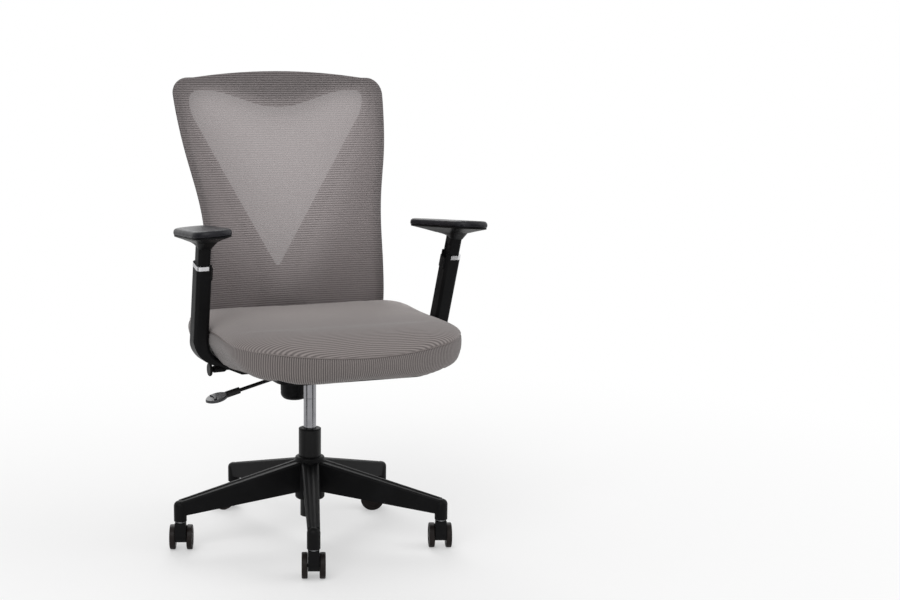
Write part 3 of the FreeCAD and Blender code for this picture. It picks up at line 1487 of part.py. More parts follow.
def build_bracket():
    """Fork round the tongue and upright plate behind the rim, one pressed and welded piece."""
    body = new_body("back_bracket")
    y = S.pivot_back
    z = pivot_height()
    eye = 13
    cross = S.spring_back + S.cup_radius + 9
    plate = S.bracket_thick
    foot = spine_foot_front() + plate
    side = [
        (y, z - eye),
        (cross, z - 3),
        (cross + 20, z - 1),
        Via((foot - 6, z + 12)),
        (foot, z + 38),
        (foot, back_bottom() + S.plate_rise),
        (foot - plate, back_bottom() + S.plate_rise),
        (foot - plate, z + 42),
        Via((foot - plate - 7, z + 22)),
        (cross + 13, z + 12),
        (y, z + 12.5),
        Via((y - eye, z)),
    ]
    pad(body, sketch_with(body, "YZ_Plane", "bracket_side", [side]), S.bracket_width, middle=True)
    fork = S.bracket_width * 0.5 - S.cheek_wall
    gap = box_path(-fork, y - 20, fork, cross - 1)
    cut(body, sketch_with(body, "XY_Plane", "fork_gap", [gap], offset=z + 40), 80)
    hole = sketch_with(body, "YZ_Plane", "cheek_eye", circles=[(y, z, S.pivot_radius + S.running_gap)])
    cut(body, hole, S.bracket_width + 4, middle=True)

    holes = sketch_with(body, "XZ_Plane", "plate_holes", circles=[(x, up, 2.55) for x, up in back_screw_places()],
                        offset=-(foot - plate * 0.5))
    cut(body, holes, plate + 2, middle=True)
    screws = []
    for k, (x, height) in enumerate(back_screw_places()):
        face = foot - plate
        head = cylinder(f"screw_head_{k}", 5, 3, (x, face - 3, height), Vector(0, 1, 0))
        shank = cylinder(f"screw_shank_{k}", 2.5, plate + 8, (x, face - 1, height), Vector(0, 1, 0))
        screws.append(combine("MultiFuse", f"screw_{k}", [head, shank]))
    doc.recompute()
    keep(combine("Compound", "screws", screws), "back_screws")


def build_all():
    build_star_base()
    build_stem_sleeves()
    build_column()
    build_gas_cylinder()
    for (name, trail_turn), heading in zip(CASTERS.items(), leg_headings()):
        build_caster(name, heading, trail_turn)
    build_mechanism()
    build_back_pivot()
    build_tension()
    build_levers()
    build_seat()
    build_arms()
    build_back_frame()
    build_rear_mesh()
    build_bracket()


def export():
    doc.recompute()
    for obj in doc.Objects:
        broken = [word for word in ("Invalid", "Error") if word in obj.State]
        assert not broken, f"{obj.Label} is {broken}"
    os.makedirs("parts", exist_ok=True)
    for obj in nodes:
        shape = obj.Shape
        assert not shape.isNull() and shape.isValid(), f"{obj.Label} has no valid shape"
        assert shape.Solids, f"{obj.Label} has no solid"
        shape.exportStep(f"parts/{obj.Label}.step")
        box = shape.optimalBoundingBox(False, False)
        print(f"{obj.Label}: {len(shape.Solids)} solid(s), "
              f"x {box.XMin:.1f}..{box.XMax:.1f} y {box.YMin:.1f}..{box.YMax:.1f} z {box.ZMin:.1f}..{box.ZMax:.1f}")
    print(len(nodes), "nodes")


build_all()
export()
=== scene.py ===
import math

import bmesh
import bpy
from bpy.props import FloatProperty, FloatVectorProperty, PointerProperty
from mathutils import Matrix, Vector
from mathutils.bvhtree import BVHTree


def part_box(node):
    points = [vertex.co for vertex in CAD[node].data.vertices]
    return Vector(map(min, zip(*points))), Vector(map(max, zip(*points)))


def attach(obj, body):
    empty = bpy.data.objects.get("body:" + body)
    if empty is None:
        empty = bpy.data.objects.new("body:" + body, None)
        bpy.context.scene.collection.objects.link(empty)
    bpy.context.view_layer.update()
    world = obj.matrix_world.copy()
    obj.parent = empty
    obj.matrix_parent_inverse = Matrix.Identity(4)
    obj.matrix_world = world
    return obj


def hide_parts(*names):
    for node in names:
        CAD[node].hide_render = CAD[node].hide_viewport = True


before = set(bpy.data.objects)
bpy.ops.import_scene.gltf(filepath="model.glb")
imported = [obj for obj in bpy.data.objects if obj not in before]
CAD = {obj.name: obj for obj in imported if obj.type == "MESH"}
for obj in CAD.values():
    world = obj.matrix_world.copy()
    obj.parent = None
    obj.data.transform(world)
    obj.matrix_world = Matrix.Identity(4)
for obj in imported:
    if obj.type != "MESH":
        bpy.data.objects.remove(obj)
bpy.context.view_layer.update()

bl_info = {
    "name": "Mesh task chair",
    "version": (1, 0, 0),
    "blender": (4, 5, 0),
    "location": "3D View > Sidebar > Chair",
    "description": "Dresses the task chair: knitted mesh, padded seat, mouldings and bright metal",
    "category": "Object",
}

# All lengths are in metres. x runs to the chair's left, y to its rear and z up, with z = 0 on the floor.


def hue(red, green, blue):
    """Screen colour (0 to 255) as a linear colour."""
    def linear(level):
        level /= 255
        return level / 12.92 if level <= 0.04045 else ((level + 0.055) / 1.055) ** 2.4
    return linear(red), linear(green), linear(blue)


def tint(colour, strength):
    """A colour made darker, or lighter, by a factor."""
    return tuple(part * strength for part in colour)


# ------------------------------------------------------------------ properties

class ChairColours(bpy.types.PropertyGroup):
    """Colours of the chair's finishes"""
    mesh_yarn: FloatVectorProperty(
        name="Back mesh", description="Yarn of the knitted back", subtype="COLOR", size=3,
        default=hue(170, 162, 162))
    seat_yarn: FloatVectorProperty(
        name="Seat fabric", description="Yarn of the seat cover", subtype="COLOR", size=3,
        default=hue(147, 139, 137))
    moulding: FloatVectorProperty(
        name="Mouldings", description="Nylon of the base, arms and spine", subtype="COLOR", size=3,
        default=hue(11, 11, 12))
    pad_skin: FloatVectorProperty(
        name="Arm pads", description="Soft skin of the arm pads", subtype="COLOR", size=3,
        default=hue(20, 20, 25))
    paddle: FloatVectorProperty(
        name="Paddle", description="Glossy height paddle", subtype="COLOR", size=3,
        default=hue(46, 47, 50))


class ChairSizes(bpy.types.PropertyGroup):
    """Sizes of the knit, the foam and the piping"""
    rib_pitch: FloatProperty(
        name="Rib pitch", description="Distance between the ribs of the knit", unit="LENGTH",
        default=0.005, min=0.002, max=0.02)
    seat_crown: FloatProperty(
        name="Seat crown", description="How much the seat foam swells", unit="LENGTH",
        default=0.004, min=0.0, max=0.02)
    piping: FloatProperty(
        name="Piping", description="Radius of the sewn edge round the seat", unit="LENGTH",
        default=0.0013, min=0.0005, max=0.005)


# ------------------------------------------------------------------ shader tools

class Level:
    """A shader socket that can be used in sums; each sum adds its Math node."""

    def __init__(self, nodes, socket):
        self.nodes = nodes
        self.socket = socket

    def math(self, operation, *others):
        return self.nodes.add("Math", {"operation": operation}, [self, *others])

    def __add__(self, other):
        return self.math("ADD", other)

    def __sub__(self, other):
        return self.math("SUBTRACT", other)

    def __mul__(self, other):
        return self.math("MULTIPLY", other)

    def __rsub__(self, other):
        return self.nodes.add("Math", {"operation": "SUBTRACT"}, [other, self])

    __radd__ = __add__
    __rmul__ = __mul__

    def wave(self, pitch):
        """0 in the grooves and 1 on the ridges of ribs a pitch apart."""
        return ((self * (2 * math.pi / pitch)).math("SINE") + 1) * 0.5

    def between(self, low, high):
        """0 below low, 1 above high, smooth between."""
        return self.nodes.add("MapRange", {"interpolation_type": "SMOOTHSTEP"}, {0: self, 1: low, 2: high})


class Nodes:
    """Builds the shader nodes of a material or a world, in place of those it has."""

    def __init__(self, owner):
        owner.use_nodes = True
        self.owner = owner
        self.tree = owner.node_tree
        self.tree.nodes.clear()

    def add(self, kind, settings=None, values=(), output=0):
        """Add a node: its settings first, then the values or links of its sockets."""
        node = self.tree.nodes.new(f"ShaderNode{kind}")
        for key, setting in (settings or {}).items():
            setattr(node, key, setting)
        pairs = values.items() if isinstance(values, dict) else enumerate(values)
        for key, value in pairs:
            socket = node.inputs[key]
            if isinstance(value, Level):
                self.tree.links.new(value.socket, socket)
            else:
                socket.default_value = (*value, 1) if socket.type == "RGBA" else value
        return Level(self, node.outputs[output]) if len(node.outputs) else None

    def close(self, shader, kind="OutputMaterial"):
        """Send a shader to the output, and give back the material or world."""
        self.add(kind, values=[shader])
        return self.owner


class Paint(Nodes):
    """Builds one material's nodes, which read the place on the object."""

    def __init__(self, name):
        super().__init__(bpy.data.materials.get(name) or bpy.data.materials.new(name))
        self.place = self.add("TexCoord", output="Object")

    def split(self, vector):
        """The three parts of a vector, such as the place, as levels."""
        outputs = self.add("SeparateXYZ", values=[vector]).socket.node.outputs
        return [Level(self, output) for output in outputs]

    def noise(self, scale, detail):
        return self.add("TexNoise", values={"Vector": self.place, "Scale": scale, "Detail": detail,
                                            "Roughness": 0.55})

    def mix(self, factor, first, second):
        """Two colours mixed. Sockets 6 and 7, and output 2, are the colour ones of the Mix node's namesakes."""
        return self.add("Mix", {"data_type": "RGBA"}, {0: factor, 6: first, 7: second}, output=2)

    def bump(self, height, distance, strength, over=None):
        """Normals for a height, over other normals if they are given."""
        values = {"Strength": strength, "Distance": distance, "Height": height}
        if over:
            values["Normal"] = over
        return self.add("Bump", values=values)

    def soft_edges(self, radius):
        return self.add("Bevel", {"samples": 4}, {"Radius": radius})

    def principled(self, **inputs):
        return self.add("BsdfPrincipled", values={key.replace("_", " "): value for key, value in inputs.items()})

    def finish(self, **inputs):
        """Close with one Principled shader."""
        return self.close(self.principled(**inputs))


# ------------------------------------------------------------------ materials

THREAD_PITCH = 0.0017      # from one thread of the knit to the next
TURNING_PITCH = 0.0011     # from one turning mark to the next on bright metal


def moulded_nylon(name, colour, rough=0.42, edge=0.0012):
    """Injection moulded nylon: fine spark grain, soft edges, rubbed a little brighter where it is handled."""
    paint = Paint(name)
    cloud = paint.noise(scale=14.0, detail=4.0)
    grain = paint.noise(scale=900.0, detail=2.0)
    worn = tuple(min(1.0, part * 1.35 + 0.001) for part in colour)
    base = paint.mix(cloud.between(0.42, 0.72), colour, worn)
    roughness = (cloud - 0.5) * 0.14 + (grain - 0.5) * 0.1 + rough
    normal = paint.bump(grain, distance=0.00006, strength=0.5, over=paint.soft_edges(edge))
    return paint.finish(Base_Color=base, Roughness=roughness, Normal=normal, Specular_IOR_Level=0.1)


def powder_coat(name, colour):
    """Black powder coat on steel, with a little orange peel."""
    paint = Paint(name)
    peel = paint.noise(scale=420.0, detail=2.0)
    cloud = paint.noise(scale=20.0, detail=3.0)
    base = paint.mix(cloud.between(0.4, 0.7), colour, tint(colour, 1.4))
    normal = paint.bump(peel, distance=0.00012, strength=0.6, over=paint.soft_edges(0.0008))
    return paint.finish(Base_Color=base, Roughness=(cloud - 0.5) * 0.12 + 0.38, Normal=normal,
                        Specular_IOR_Level=0.2)


def bright_chrome(name, light, dim, rough=0.13):
    """Polished metal with faint turning marks and a breath of dust."""
    paint = Paint(name)
    _, _, height = paint.split(paint.place)
    rings = height.wave(TURNING_PITCH)
    cloud = paint.noise(scale=30.0, detail=4.0)
    base = paint.mix(cloud.between(0.35, 0.75), light, dim)
    roughness = (cloud - 0.5) * 0.08 + rings * 0.03 + rough
    normal = paint.bump(rings, distance=0.00002, strength=0.3, over=paint.soft_edges(0.0006))
    return paint.finish(Base_Color=base, Metallic=1.0, Roughness=roughness, Normal=normal)


def zinc_steel(name):
    """Dull zinc plate on fasteners, pins and springs."""
    paint = Paint(name)
    cloud = paint.noise(scale=60.0, detail=5.0)
    base = paint.mix(cloud, hue(150, 150, 152), hue(120, 121, 124))
    normal = paint.bump(cloud, distance=0.00005, strength=0.4, over=paint.soft_edges(0.0004))
    return paint.finish(Base_Color=base, Metallic=1.0, Roughness=cloud * 0.25 + 0.25, Normal=normal)


def glossy_paddle(name, colour, grip_colour, grip_start):
    """Glossy leaf with a plain black grip where it meets the rod."""
    paint = Paint(name)
    across, _, _ = paint.split(paint.place)
    smear = paint.noise(scale=45.0, detail=4.0)
    leaf = paint.mix(smear.between(0.3, 0.8), colour, tint(colour, 1.12))
    grip = across.between(grip_start - 0.001, grip_start + 0.001)
    gloss = (smear - 0.5) * 0.03 + 0.3
    return paint.finish(Base_Color=paint.mix(grip, leaf, grip_colour), Roughness=gloss + grip * 0.2,
                        Coat_Weight=(1 - grip) * 0.15, Coat_Roughness=0.12, Specular_IOR_Level=0.35,
                        Normal=paint.soft_edges(0.0006))


def pad_leather(name, colour):
    """Soft moulded skin with a fine pebble."""
    paint = Paint(name)
    pebble = paint.add("TexVoronoi", {"feature": "SMOOTH_F1"}, {"Vector": paint.place, "Scale": 900.0})
    cloud = paint.noise(scale=18.0, detail=4.0)
    base = paint.mix(cloud.between(0.4, 0.75), colour, tint(colour, 1.5))
    normal = paint.bump(pebble, distance=0.00008, strength=0.5)
    return paint.finish(Base_Color=base, Roughness=(cloud - 0.5) * 0.12 + 0.42, Normal=normal,
                        Specular_IOR_Level=0.22)


def knitted_mesh(name, colour, pitch, ridge_cover, groove_cover, glow):
    """See-through knit: ribs that run across the back, open holes in the grooves, a glow from behind, and painted
    shade that darkens it low down, near the seat.

    ridge_cover and groove_cover are how much of the light a ridge and a groove hold back, and glow is the share of
    the yarn that lets it through.
    """
    paint = Paint(name)
    across, _, height = paint.split(paint.place)
    rib = height.wave(pitch)
    thread = across.wave(THREAD_PITCH)
    cloud = paint.noise(scale=9.0, detail=3.0)
    fuzz = paint.noise(scale=1500.0, detail=1.0)
    yarn = paint.mix(rib * 0.88 + thread * 0.06 + fuzz * 0.06, tint(colour, 0.58), tint(colour, 1.2))
    # Painted shade: the knit is darkened towards the seat, fully below 0.5 m and fading out by 0.72 m.
    painted_seat_shade = 1 - height.between(0.5, 0.72)
    shaded = paint.mix(painted_seat_shade * 0.3, yarn, tint(colour, 0.5))
    worn = paint.mix(cloud.between(0.35, 0.75) * 0.3, shaded, tint(colour, 0.88))
    normal = paint.bump(rib * 0.96 + thread * 0.04, distance=0.0008, strength=0.7)
    front = paint.principled(Base_Color=worn, Roughness=fuzz * 0.1 + 0.8, Normal=normal, Specular_IOR_Level=0.15,
                             Sheen_Weight=0.15, Sheen_Roughness=0.5)
    lit_through = paint.add("BsdfTranslucent", values={"Color": worn})
    cloth = paint.add("MixShader", values=[glow, front, lit_through])
    holes = (1 - thread.between(0.1, 0.5)) * (1 - rib.between(0.1, 0.6)) * 0.12
    cover = rib.between(0.1, 0.8) * (ridge_cover - groove_cover) + groove_cover - holes
    return paint.close(paint.add("MixShader", values=[cover, paint.add("BsdfTransparent"), cloth]))


def seat_knit(name, colour, pitch):
    """Spacer knit: ribs across the top panel, upright ribs round the side band, and painted light that makes the
    top's ridges lighter towards the rear.

    The cover's map "weave" holds lengths along and over the ribs, and its attribute "band" is 1 on the side band.
    """
    paint = Paint(name)
    _, depth, _ = paint.split(paint.place)
    along, over, _ = paint.split(paint.add("UVMap", {"uv_map": "weave"}))
    band = paint.add("Attribute", {"attribute_name": "band"}, output="Fac")
    ribs_top = over.wave(pitch) * 0.82 + along.wave(THREAD_PITCH) * 0.18
    ribs_side = along.wave(pitch * 0.9) * 0.82 + over.wave(THREAD_PITCH) * 0.18
    rib = ribs_top * (1 - band) + ribs_side * band
    cloud = paint.noise(scale=7.0, detail=3.0)
    fuzz = paint.noise(scale=1300.0, detail=1.0)
    # Painted light: the top's ridges go from 1.15 times the yarn at the front to 1.95 times towards the rear.
    painted_rear_light = depth.between(-0.26, 0.0)
    top_ridge = paint.mix(painted_rear_light, tint(colour, 1.15), tint(colour, 1.95))
    groove = paint.mix(band, tint(colour, 0.3), tint(colour, 0.1))
    ridge = paint.mix(band, top_ridge, tint(colour, 0.95))
    yarn = paint.mix(rib * 0.85 + fuzz * 0.15, groove, ridge)
    worn = paint.mix(cloud.between(0.35, 0.75) * 0.2, yarn, tint(colour, 0.7))
    normal = paint.bump(rib, distance=0.0008, strength=0.8)
    return paint.finish(Base_Color=worn, Roughness=fuzz * 0.1 + 0.82, Normal=normal, Specular_IOR_Level=0.2,
                        Sheen_Weight=0.25, Sheen_Roughness=0.5)


def knit_cord(name, colour):
    """The seat's yarn drawn tight over its piping."""
    paint = Paint(name)
    fuzz = paint.noise(scale=900.0, detail=2.0)
    base = paint.mix(fuzz, tint(colour, 0.62), tint(colour, 0.8))
    normal = paint.bump(fuzz, distance=0.0002, strength=0.6)
    return paint.finish(Base_Color=base, Roughness=fuzz * 0.1 + 0.8, Normal=normal, Specular_IOR_Level=0.1)


def pale_floor(name):
    """Floor that keeps the chair's shadow and, as the camera sees it, turns white further off."""
    paint = Paint(name)
    across, along, _ = paint.split(paint.place)
    distance = (across * across + along * along).math("SQRT")
    seen = paint.add("LightPath", output="Is Camera Ray")
    bare = paint.add("BsdfDiffuse", values={"Color": (0.93, 0.93, 0.93)})
    white = paint.add("Emission", values={"Color": (1.0, 1.0, 1.0), "Strength": 1.0})
    whiteness = seen * (distance.between(0.5, 2.2) * 0.6 + 0.4)
    return paint.close(paint.add("MixShader", values=[whiteness, bare, white]))


def dark_flag_cloth(name):
    """Black studio cloth with no gloss."""
    paint = Paint(name)
    grain = paint.noise(scale=200.0, detail=2.0)
    base = paint.mix(grain, hue(10, 10, 10), hue(16, 16, 16))
    return paint.finish(Base_Color=base, Roughness=1.0, Specular_IOR_Level=0.0)


# ------------------------------------------------------------------ mesh tools

ROUNDING_PASSES = 26       # smoothing that rounds the edges of a remeshed pad
CLEAR_OF_CHAIR = 2.0       # how far off the rays that look for a surface start


def only(obj):
    """Deselect everything and make one object the active one."""
    bpy.ops.object.select_all(action="DESELECT")
    obj.select_set(True)
    bpy.context.view_layer.objects.active = obj


def new_object(name, data):
    """An object for some data, in the scene."""
    obj = bpy.data.objects.new(name, data)
    bpy.context.scene.collection.objects.link(obj)
    return obj


def object_from(shape, name):
    """Make an object of a bmesh, with its faces outward, and free the bmesh."""
    bmesh.ops.recalc_face_normals(shape, faces=shape.faces)
    mesh = bpy.data.meshes.new(name)
    shape.to_mesh(mesh)
    shape.free()
    return new_object(name, mesh)


def apply_modifier(piece, kind, **settings):
    """Add a modifier with some settings, and apply it."""
    modifier = piece.modifiers.new(kind.title(), kind)
    for key, value in settings.items():
        setattr(modifier, key, value)
    only(piece)
    bpy.ops.object.modifier_apply(modifier=modifier.name)


def softened_copy(node, name, voxel):
    """A copy of a CAD node in small even faces, with its edges rounded."""
    piece = new_object(name, CAD[node].data.copy())
    piece.data.materials.clear()
    only(piece)
    bpy.ops.object.mode_set(mode="EDIT")
    bpy.ops.mesh.select_all(action="SELECT")
    bpy.ops.mesh.remove_doubles(threshold=0.00001)
    bpy.ops.object.mode_set(mode="OBJECT")
    piece.data.remesh_voxel_size = voxel
    bpy.ops.object.voxel_remesh()
    apply_modifier(piece, "SMOOTH", factor=0.5, iterations=ROUNDING_PASSES)
    return piece


def fill_box(piece, low, high):
    """Stretch a piece so that it fills a box again after smoothing has shrunk it."""
    least, most = [[pick(vertex.co[axis] for vertex in piece.data.vertices) for axis in range(3)]
                   for pick in (min, max)]
    for vertex in piece.data.vertices:
        for axis in range(3):
            share = (vertex.co[axis] - least[axis]) / (most[axis] - least[axis])
            vertex.co[axis] = low[axis] + share * (high[axis] - low[axis])


def paint_piece(piece, material, smooth=True):
    """Give a piece one material in place of those it has."""
    piece.data.materials.clear()
    piece.data.materials.append(material)
    if smooth:
        piece.data.shade_smooth()


def tree_of(*pieces):
    """A search tree over some pieces, for finding where their surfaces are."""
    shape = bmesh.new()
    for piece in pieces:
        shape.from_mesh(piece.data)
    tree = BVHTree.FromBMesh(shape)
    shape.free()
    return tree


def hit_y(tree, x, z, from_rear=False):
    """Y place where a tree's surface is met from the front or the rear, or None."""
    way = Vector((0, -1.0 if from_rear else 1.0, 0))
    found = tree.ray_cast(Vector((x, 0, z)) - way * CLEAR_OF_CHAIR, way)[0]
    return None if found is None else found.y


def last_inside(inside, low, high, halvings):
    """The last value of a span for which a test holds, found by halving the span."""
    for _ in range(halvings):
        half = (low + high) / 2
        if inside(half):
            low = half
        else:
            high = half
    return low


def smooth_step(value, low, high):
    """0 below low, 1 above high, smooth between."""
    share = min(1.0, max(0.0, (value - low) / (high - low)))
    return share * share * (3 - 2 * share)


def along_stretch(value, rise, full, fall, end):
    """0 outside rise to end, 1 from full to fall, smooth between."""
    return smooth_step(value, rise, full) * smooth_step(-value, -end, -fall)


# ------------------------------------------------------------------ seat

FOAM_VOXEL = 0.007         # size of the remeshed foam's faces
FOAM_PRESSURE = 4.0        # pressure of the cloth that swells it
CLOTH_FRAMES = 20          # steps of that cloth
SETTLING_PASSES = 14       # smoothing once it has swollen

SEAM_DROP = 0.024          # from the top of the foam to the seam at the sides and the rear
SEAM_FRONT_DROP = 0.030    # how much lower the seam runs at the front
SEAM_SWEEP = 1.5           # how late it goes down on its way forward
SEAM_TUCK = 0.0012         # how far the knit is drawn in along the seam
PIPING_RISE = 0.0006       # the piping's centre, above the seam
SHOULDER = 3.8             # how square the top's shoulders are
REAR_TURN = (0.2, 0.8)     # sines of the directions over which the shoulder fades out towards the rear
BAND_BULGE = 0.0022        # the side band's swell between seam and hem
HEM_RISE = 0.007           # from the foam's underside to the hem

SECTORS = 320              # points round each ring of the cover
TOP_RINGS = 52
BAND_RINGS = 16
UNDER_RINGS = 12
CROWDING = 1.7             # how much the top's rings crowd towards the seam

PAN_GAP = 0.0006           # the underside's rest above the pan
HANG = 0.0064              # how far the cover is drawn down over the pan's edge
SIDE_SWELL = 0.0045        # how much fuller the sides are before and behind the arm bars
CORNER_LIFT = 0.004        # how much the rear corners stand up
ELBOW_START = 0.225        # half width at which the arms' elbows begin to rise
ELBOW_SLOPE = 1.53         # their rise for each metre further out
ELBOW_GAP = 0.0012         # the cover's rest above an elbow
ELBOW_HOLD = 0.75          # share of the way that the cover follows an elbow

# Spans over which an effect on the cover grows from none to full.
PAST_PAN_SIDE = (0.004, 0.030)     # distances past the pan's edge
PAST_PAN_FRONT = (0.004, 0.026)
OVER_BAR = (0.12, 0.16)            # half widths
SWELLING_SIDE = (0.16, 0.25)
CORNER_WIDTH = (0.08, 0.20)
ELBOW_WIDTH = (0.15, 0.20)
NO_HANG = (0.03, 0.07)             # depths, the front negative
CORNER_DEPTH = (-0.12, 0.04)
HANG_FADE = (0.010, 0.050)         # heights above the foam's underside
ELBOW_FADE = (0.035, 0.075)
CORNER_MARGIN = 0.02               # from the foam's underside and from its top

# Depths over which the arms act on it: none to full, and full to none.
BESIDE_BAR = (-0.150, -0.116, -0.03, 0.0)
HELD_IN = (-0.29, -0.16, -0.05, 0.04)
IN_ELBOW = (-0.22, -0.10, 0.0, 0.06)


def swell(piece, cap):
    """Blow the foam up a little with cloth, and hold each point within a cap of where it was."""
    before = [vertex.co.copy() for vertex in piece.data.vertices]
    cloth = piece.modifiers.new("Cloth", "CLOTH")
    cloth.settings.use_pressure = True
    cloth.settings.uniform_pressure_force = FOAM_PRESSURE
    cloth.settings.effector_weights.gravity = 0
    cloth.point_cache.frame_end = CLOTH_FRAMES
    for step in range(1, CLOTH_FRAMES + 1):
        bpy.context.scene.frame_set(step)
    only(piece)
    bpy.ops.object.modifier_apply(modifier=cloth.name)
    bpy.context.scene.frame_set(1)
    for vertex, start in zip(piece.data.vertices, before):
        moved = vertex.co - start
        if moved.length > cap:
            vertex.co = start + moved * (cap / moved.length)


class Foam:
    """The smooth foam of the seat, asked for points of its skin."""

    def __init__(self, crown):
        self.low, self.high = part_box("seat_cushion")
        self.middle = (self.low + self.high) / 2
        pan_low, pan_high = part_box("seat_pan")
        self.pan_side, self.pan_front = pan_high.x, pan_low.y
        piece = softened_copy("seat_cushion", "seat_foam", FOAM_VOXEL)
        swell(piece, crown)
        apply_modifier(piece, "SMOOTH", factor=0.5, iterations=SETTLING_PASSES)
        fill_box(piece, self.low, self.high)
        self.tree = tree_of(piece)
        bpy.data.objects.remove(piece)

    def side(self, angle, height):
        """Where the side is met at a height, in a direction from the middle."""
        outward = Vector((math.cos(angle), math.sin(angle), 0))
        start = Vector((self.middle.x, self.middle.y, height)) + outward
        return self.tree.ray_cast(start, -outward)[0]

    def face(self, x, y, from_below=False):
        """Where the top, or the underside, is met above a point of the floor."""
        start = Vector((x, y, 0.0 if from_below else 1.0))
        return self.tree.ray_cast(start, Vector((0, 0, 1.0 if from_below else -1.0)))[0]

    def seam(self, angle):
        """Height of the seam: level round the rear and the sides, and lower towards the front."""
        forward = max(0.0, -math.sin(angle))
        return self.high.z - SEAM_DROP - SEAM_FRONT_DROP * forward ** SEAM_SWEEP

    def dome(self, angle, edge, share):
        """A point of the top, part of the way from the middle to the seam: the knit pulls the shoulders round."""
        x, y = self.middle.xy + (edge.xy - self.middle.xy) * share
        place = self.face(x, y)
        crown = self.high.z - edge.z
        pulled = edge.z + crown * (1 - share ** SHOULDER) ** 0.5
        free = 1 - smooth_step(math.sin(angle), *REAR_TURN)
        return Vector((x, y, place.z - max(0.0, place.z - pulled) * free))


def cover_rings(foam, angles, seam):
    """Places of the cover, ring by ring: out over the top, down the side band, and in under the foam."""
    rings = []
    for ring in range(TOP_RINGS, 0, -1):
        share = 1 - (ring / (TOP_RINGS + 1)) ** CROWDING
        rings.append([foam.dome(angle, edge, share) for angle, edge in zip(angles, seam)])
    rings.append([edge + (foam.middle - edge).normalized() * SEAM_TUCK for edge in seam])
    hem_height = foam.low.z + HEM_RISE
    for ring in range(1, BAND_RINGS + 1):
        share = ring / BAND_RINGS
        bulge = BAND_BULGE * math.sin(share * math.pi)
        row = []
        for angle, edge in zip(angles, seam):
            height = edge.z + (hem_height - edge.z) * share
            outward = Vector((math.cos(angle), math.sin(angle), 0))
            row.append(foam.side(angle, height) + outward * bulge)
        rings.append(row)
    hem = rings[-1]
    for ring in range(1, UNDER_RINGS + 1):
        share = 1 - ring / (UNDER_RINGS + 1)
        places = [foam.middle.xy + (edge.xy - foam.middle.xy) * share for edge in hem]
        rings.append([foam.face(x, y, from_below=True) for x, y in places])
    return rings


def settle(foam, place):
    """Where a place of the cover comes to rest on the pan and against the arms.

    It lies flat on the pan, is drawn down over the pan's edge away from the arm bars, swells at the sides and stands
    up at the rear corners where nothing holds it, and rests in the elbows of the arms.
    """
    x, y, z = place
    side = abs(x)
    rise = z - foam.low.z
    past_edge = max(smooth_step(side - foam.pan_side, *PAST_PAN_SIDE),
                    smooth_step(foam.pan_front - y, *PAST_PAN_FRONT))
    on_bar = along_stretch(y, *BESIDE_BAR) * smooth_step(side, *OVER_BAR)
    free = (1 - on_bar) * (1 - smooth_step(y, *NO_HANG))
    hang = HANG * past_edge * free * (1 - smooth_step(rise, *HANG_FADE))
    upper = smooth_step(rise, CORNER_MARGIN, foam.high.z - foam.low.z - CORNER_MARGIN)
    corner = smooth_step(side, *CORNER_WIDTH) * smooth_step(y, *CORNER_DEPTH) * upper
    rise = max(rise, PAN_GAP) - hang + CORNER_LIFT * corner

    elbow = ELBOW_GAP + max(0.0, side - ELBOW_START) * ELBOW_SLOPE
    resting = ELBOW_HOLD * along_stretch(y, *IN_ELBOW) * smooth_step(side, *ELBOW_WIDTH)
    rise += min(0.0, elbow - rise) * resting * (1 - smooth_step(rise, *ELBOW_FADE))

    fuller = SIDE_SWELL * smooth_step(side, *SWELLING_SIDE) * (1 - along_stretch(y, *HELD_IN))
    return Vector((x + math.copysign(fuller, x), y, foam.low.z + rise))


def knit_length(foam, steps=80, inset=0.004):
    """Length of the knit from the rear edge to each place along the middle line of the top."""
    rear, front = foam.high.y - inset, foam.low.y + inset
    places = [rear + (front - rear) * k / steps for k in range(steps + 1)]
    points = [foam.face(foam.middle.x, y) for y in places]
    lengths = [0.0]
    for start, end in zip(points, points[1:]):
        lengths.append(lengths[-1] + (end - start).length)

    def along(y):
        place = (rear - y) / (rear - front) * steps
        first = min(steps - 1, max(0, math.floor(place)))
        return lengths[first] + (lengths[first + 1] - lengths[first]) * (place - first)

    return along


def build_seat_cover(foam):
    """Top panel, side band and underside as rings about the middle, and the line of the seam between them."""
    angles = [2 * math.pi * k / SECTORS for k in range(SECTORS)]
    seam = [foam.side(angle, foam.seam(angle)) for angle in angles]
    shape = bmesh.new()
    weave = shape.loops.layers.uv.new("weave")
    band = shape.faces.layers.float.new("band")
    rows = [[shape.verts.new(settle(foam, place)) for place in ring] for ring in cover_rings(foam, angles, seam)]
    run = [0.0]
    for start, end in zip(seam, seam[1:] + seam[:1]):
        run.append(run[-1] + (end - start).length)
    along = knit_length(foam)
    for row, (upper, lower) in enumerate(zip(rows, rows[1:])):
        sewn = TOP_RINGS <= row < TOP_RINGS + BAND_RINGS
        for k in range(SECTORS):
            after = (k + 1) % SECTORS
            face = shape.faces.new((upper[k], lower[k], lower[after], upper[after]))
            face[band] = 1.0 if sewn else 0.0
            for loop, turn in zip(face.loops, (k, k, k + 1, k + 1)):
                place = loop.vert.co
                loop[weave].uv = (run[turn], place.z) if sewn else (place.x, along(place.y))
    for row, from_below in ((rows[0], False), (rows[-1], True)):
        tip = shape.verts.new(foam.face(foam.middle.x, foam.middle.y, from_below))
        for k in range(SECTORS):
            ends = (row[k], row[(k + 1) % SECTORS])
            face = shape.faces.new((tip, *(ends[::-1] if from_below else ends)))
            for loop in face.loops:
                loop[weave].uv = (loop.vert.co.x, along(loop.vert.co.y))
    return object_from(shape, "seat_cover"), seam


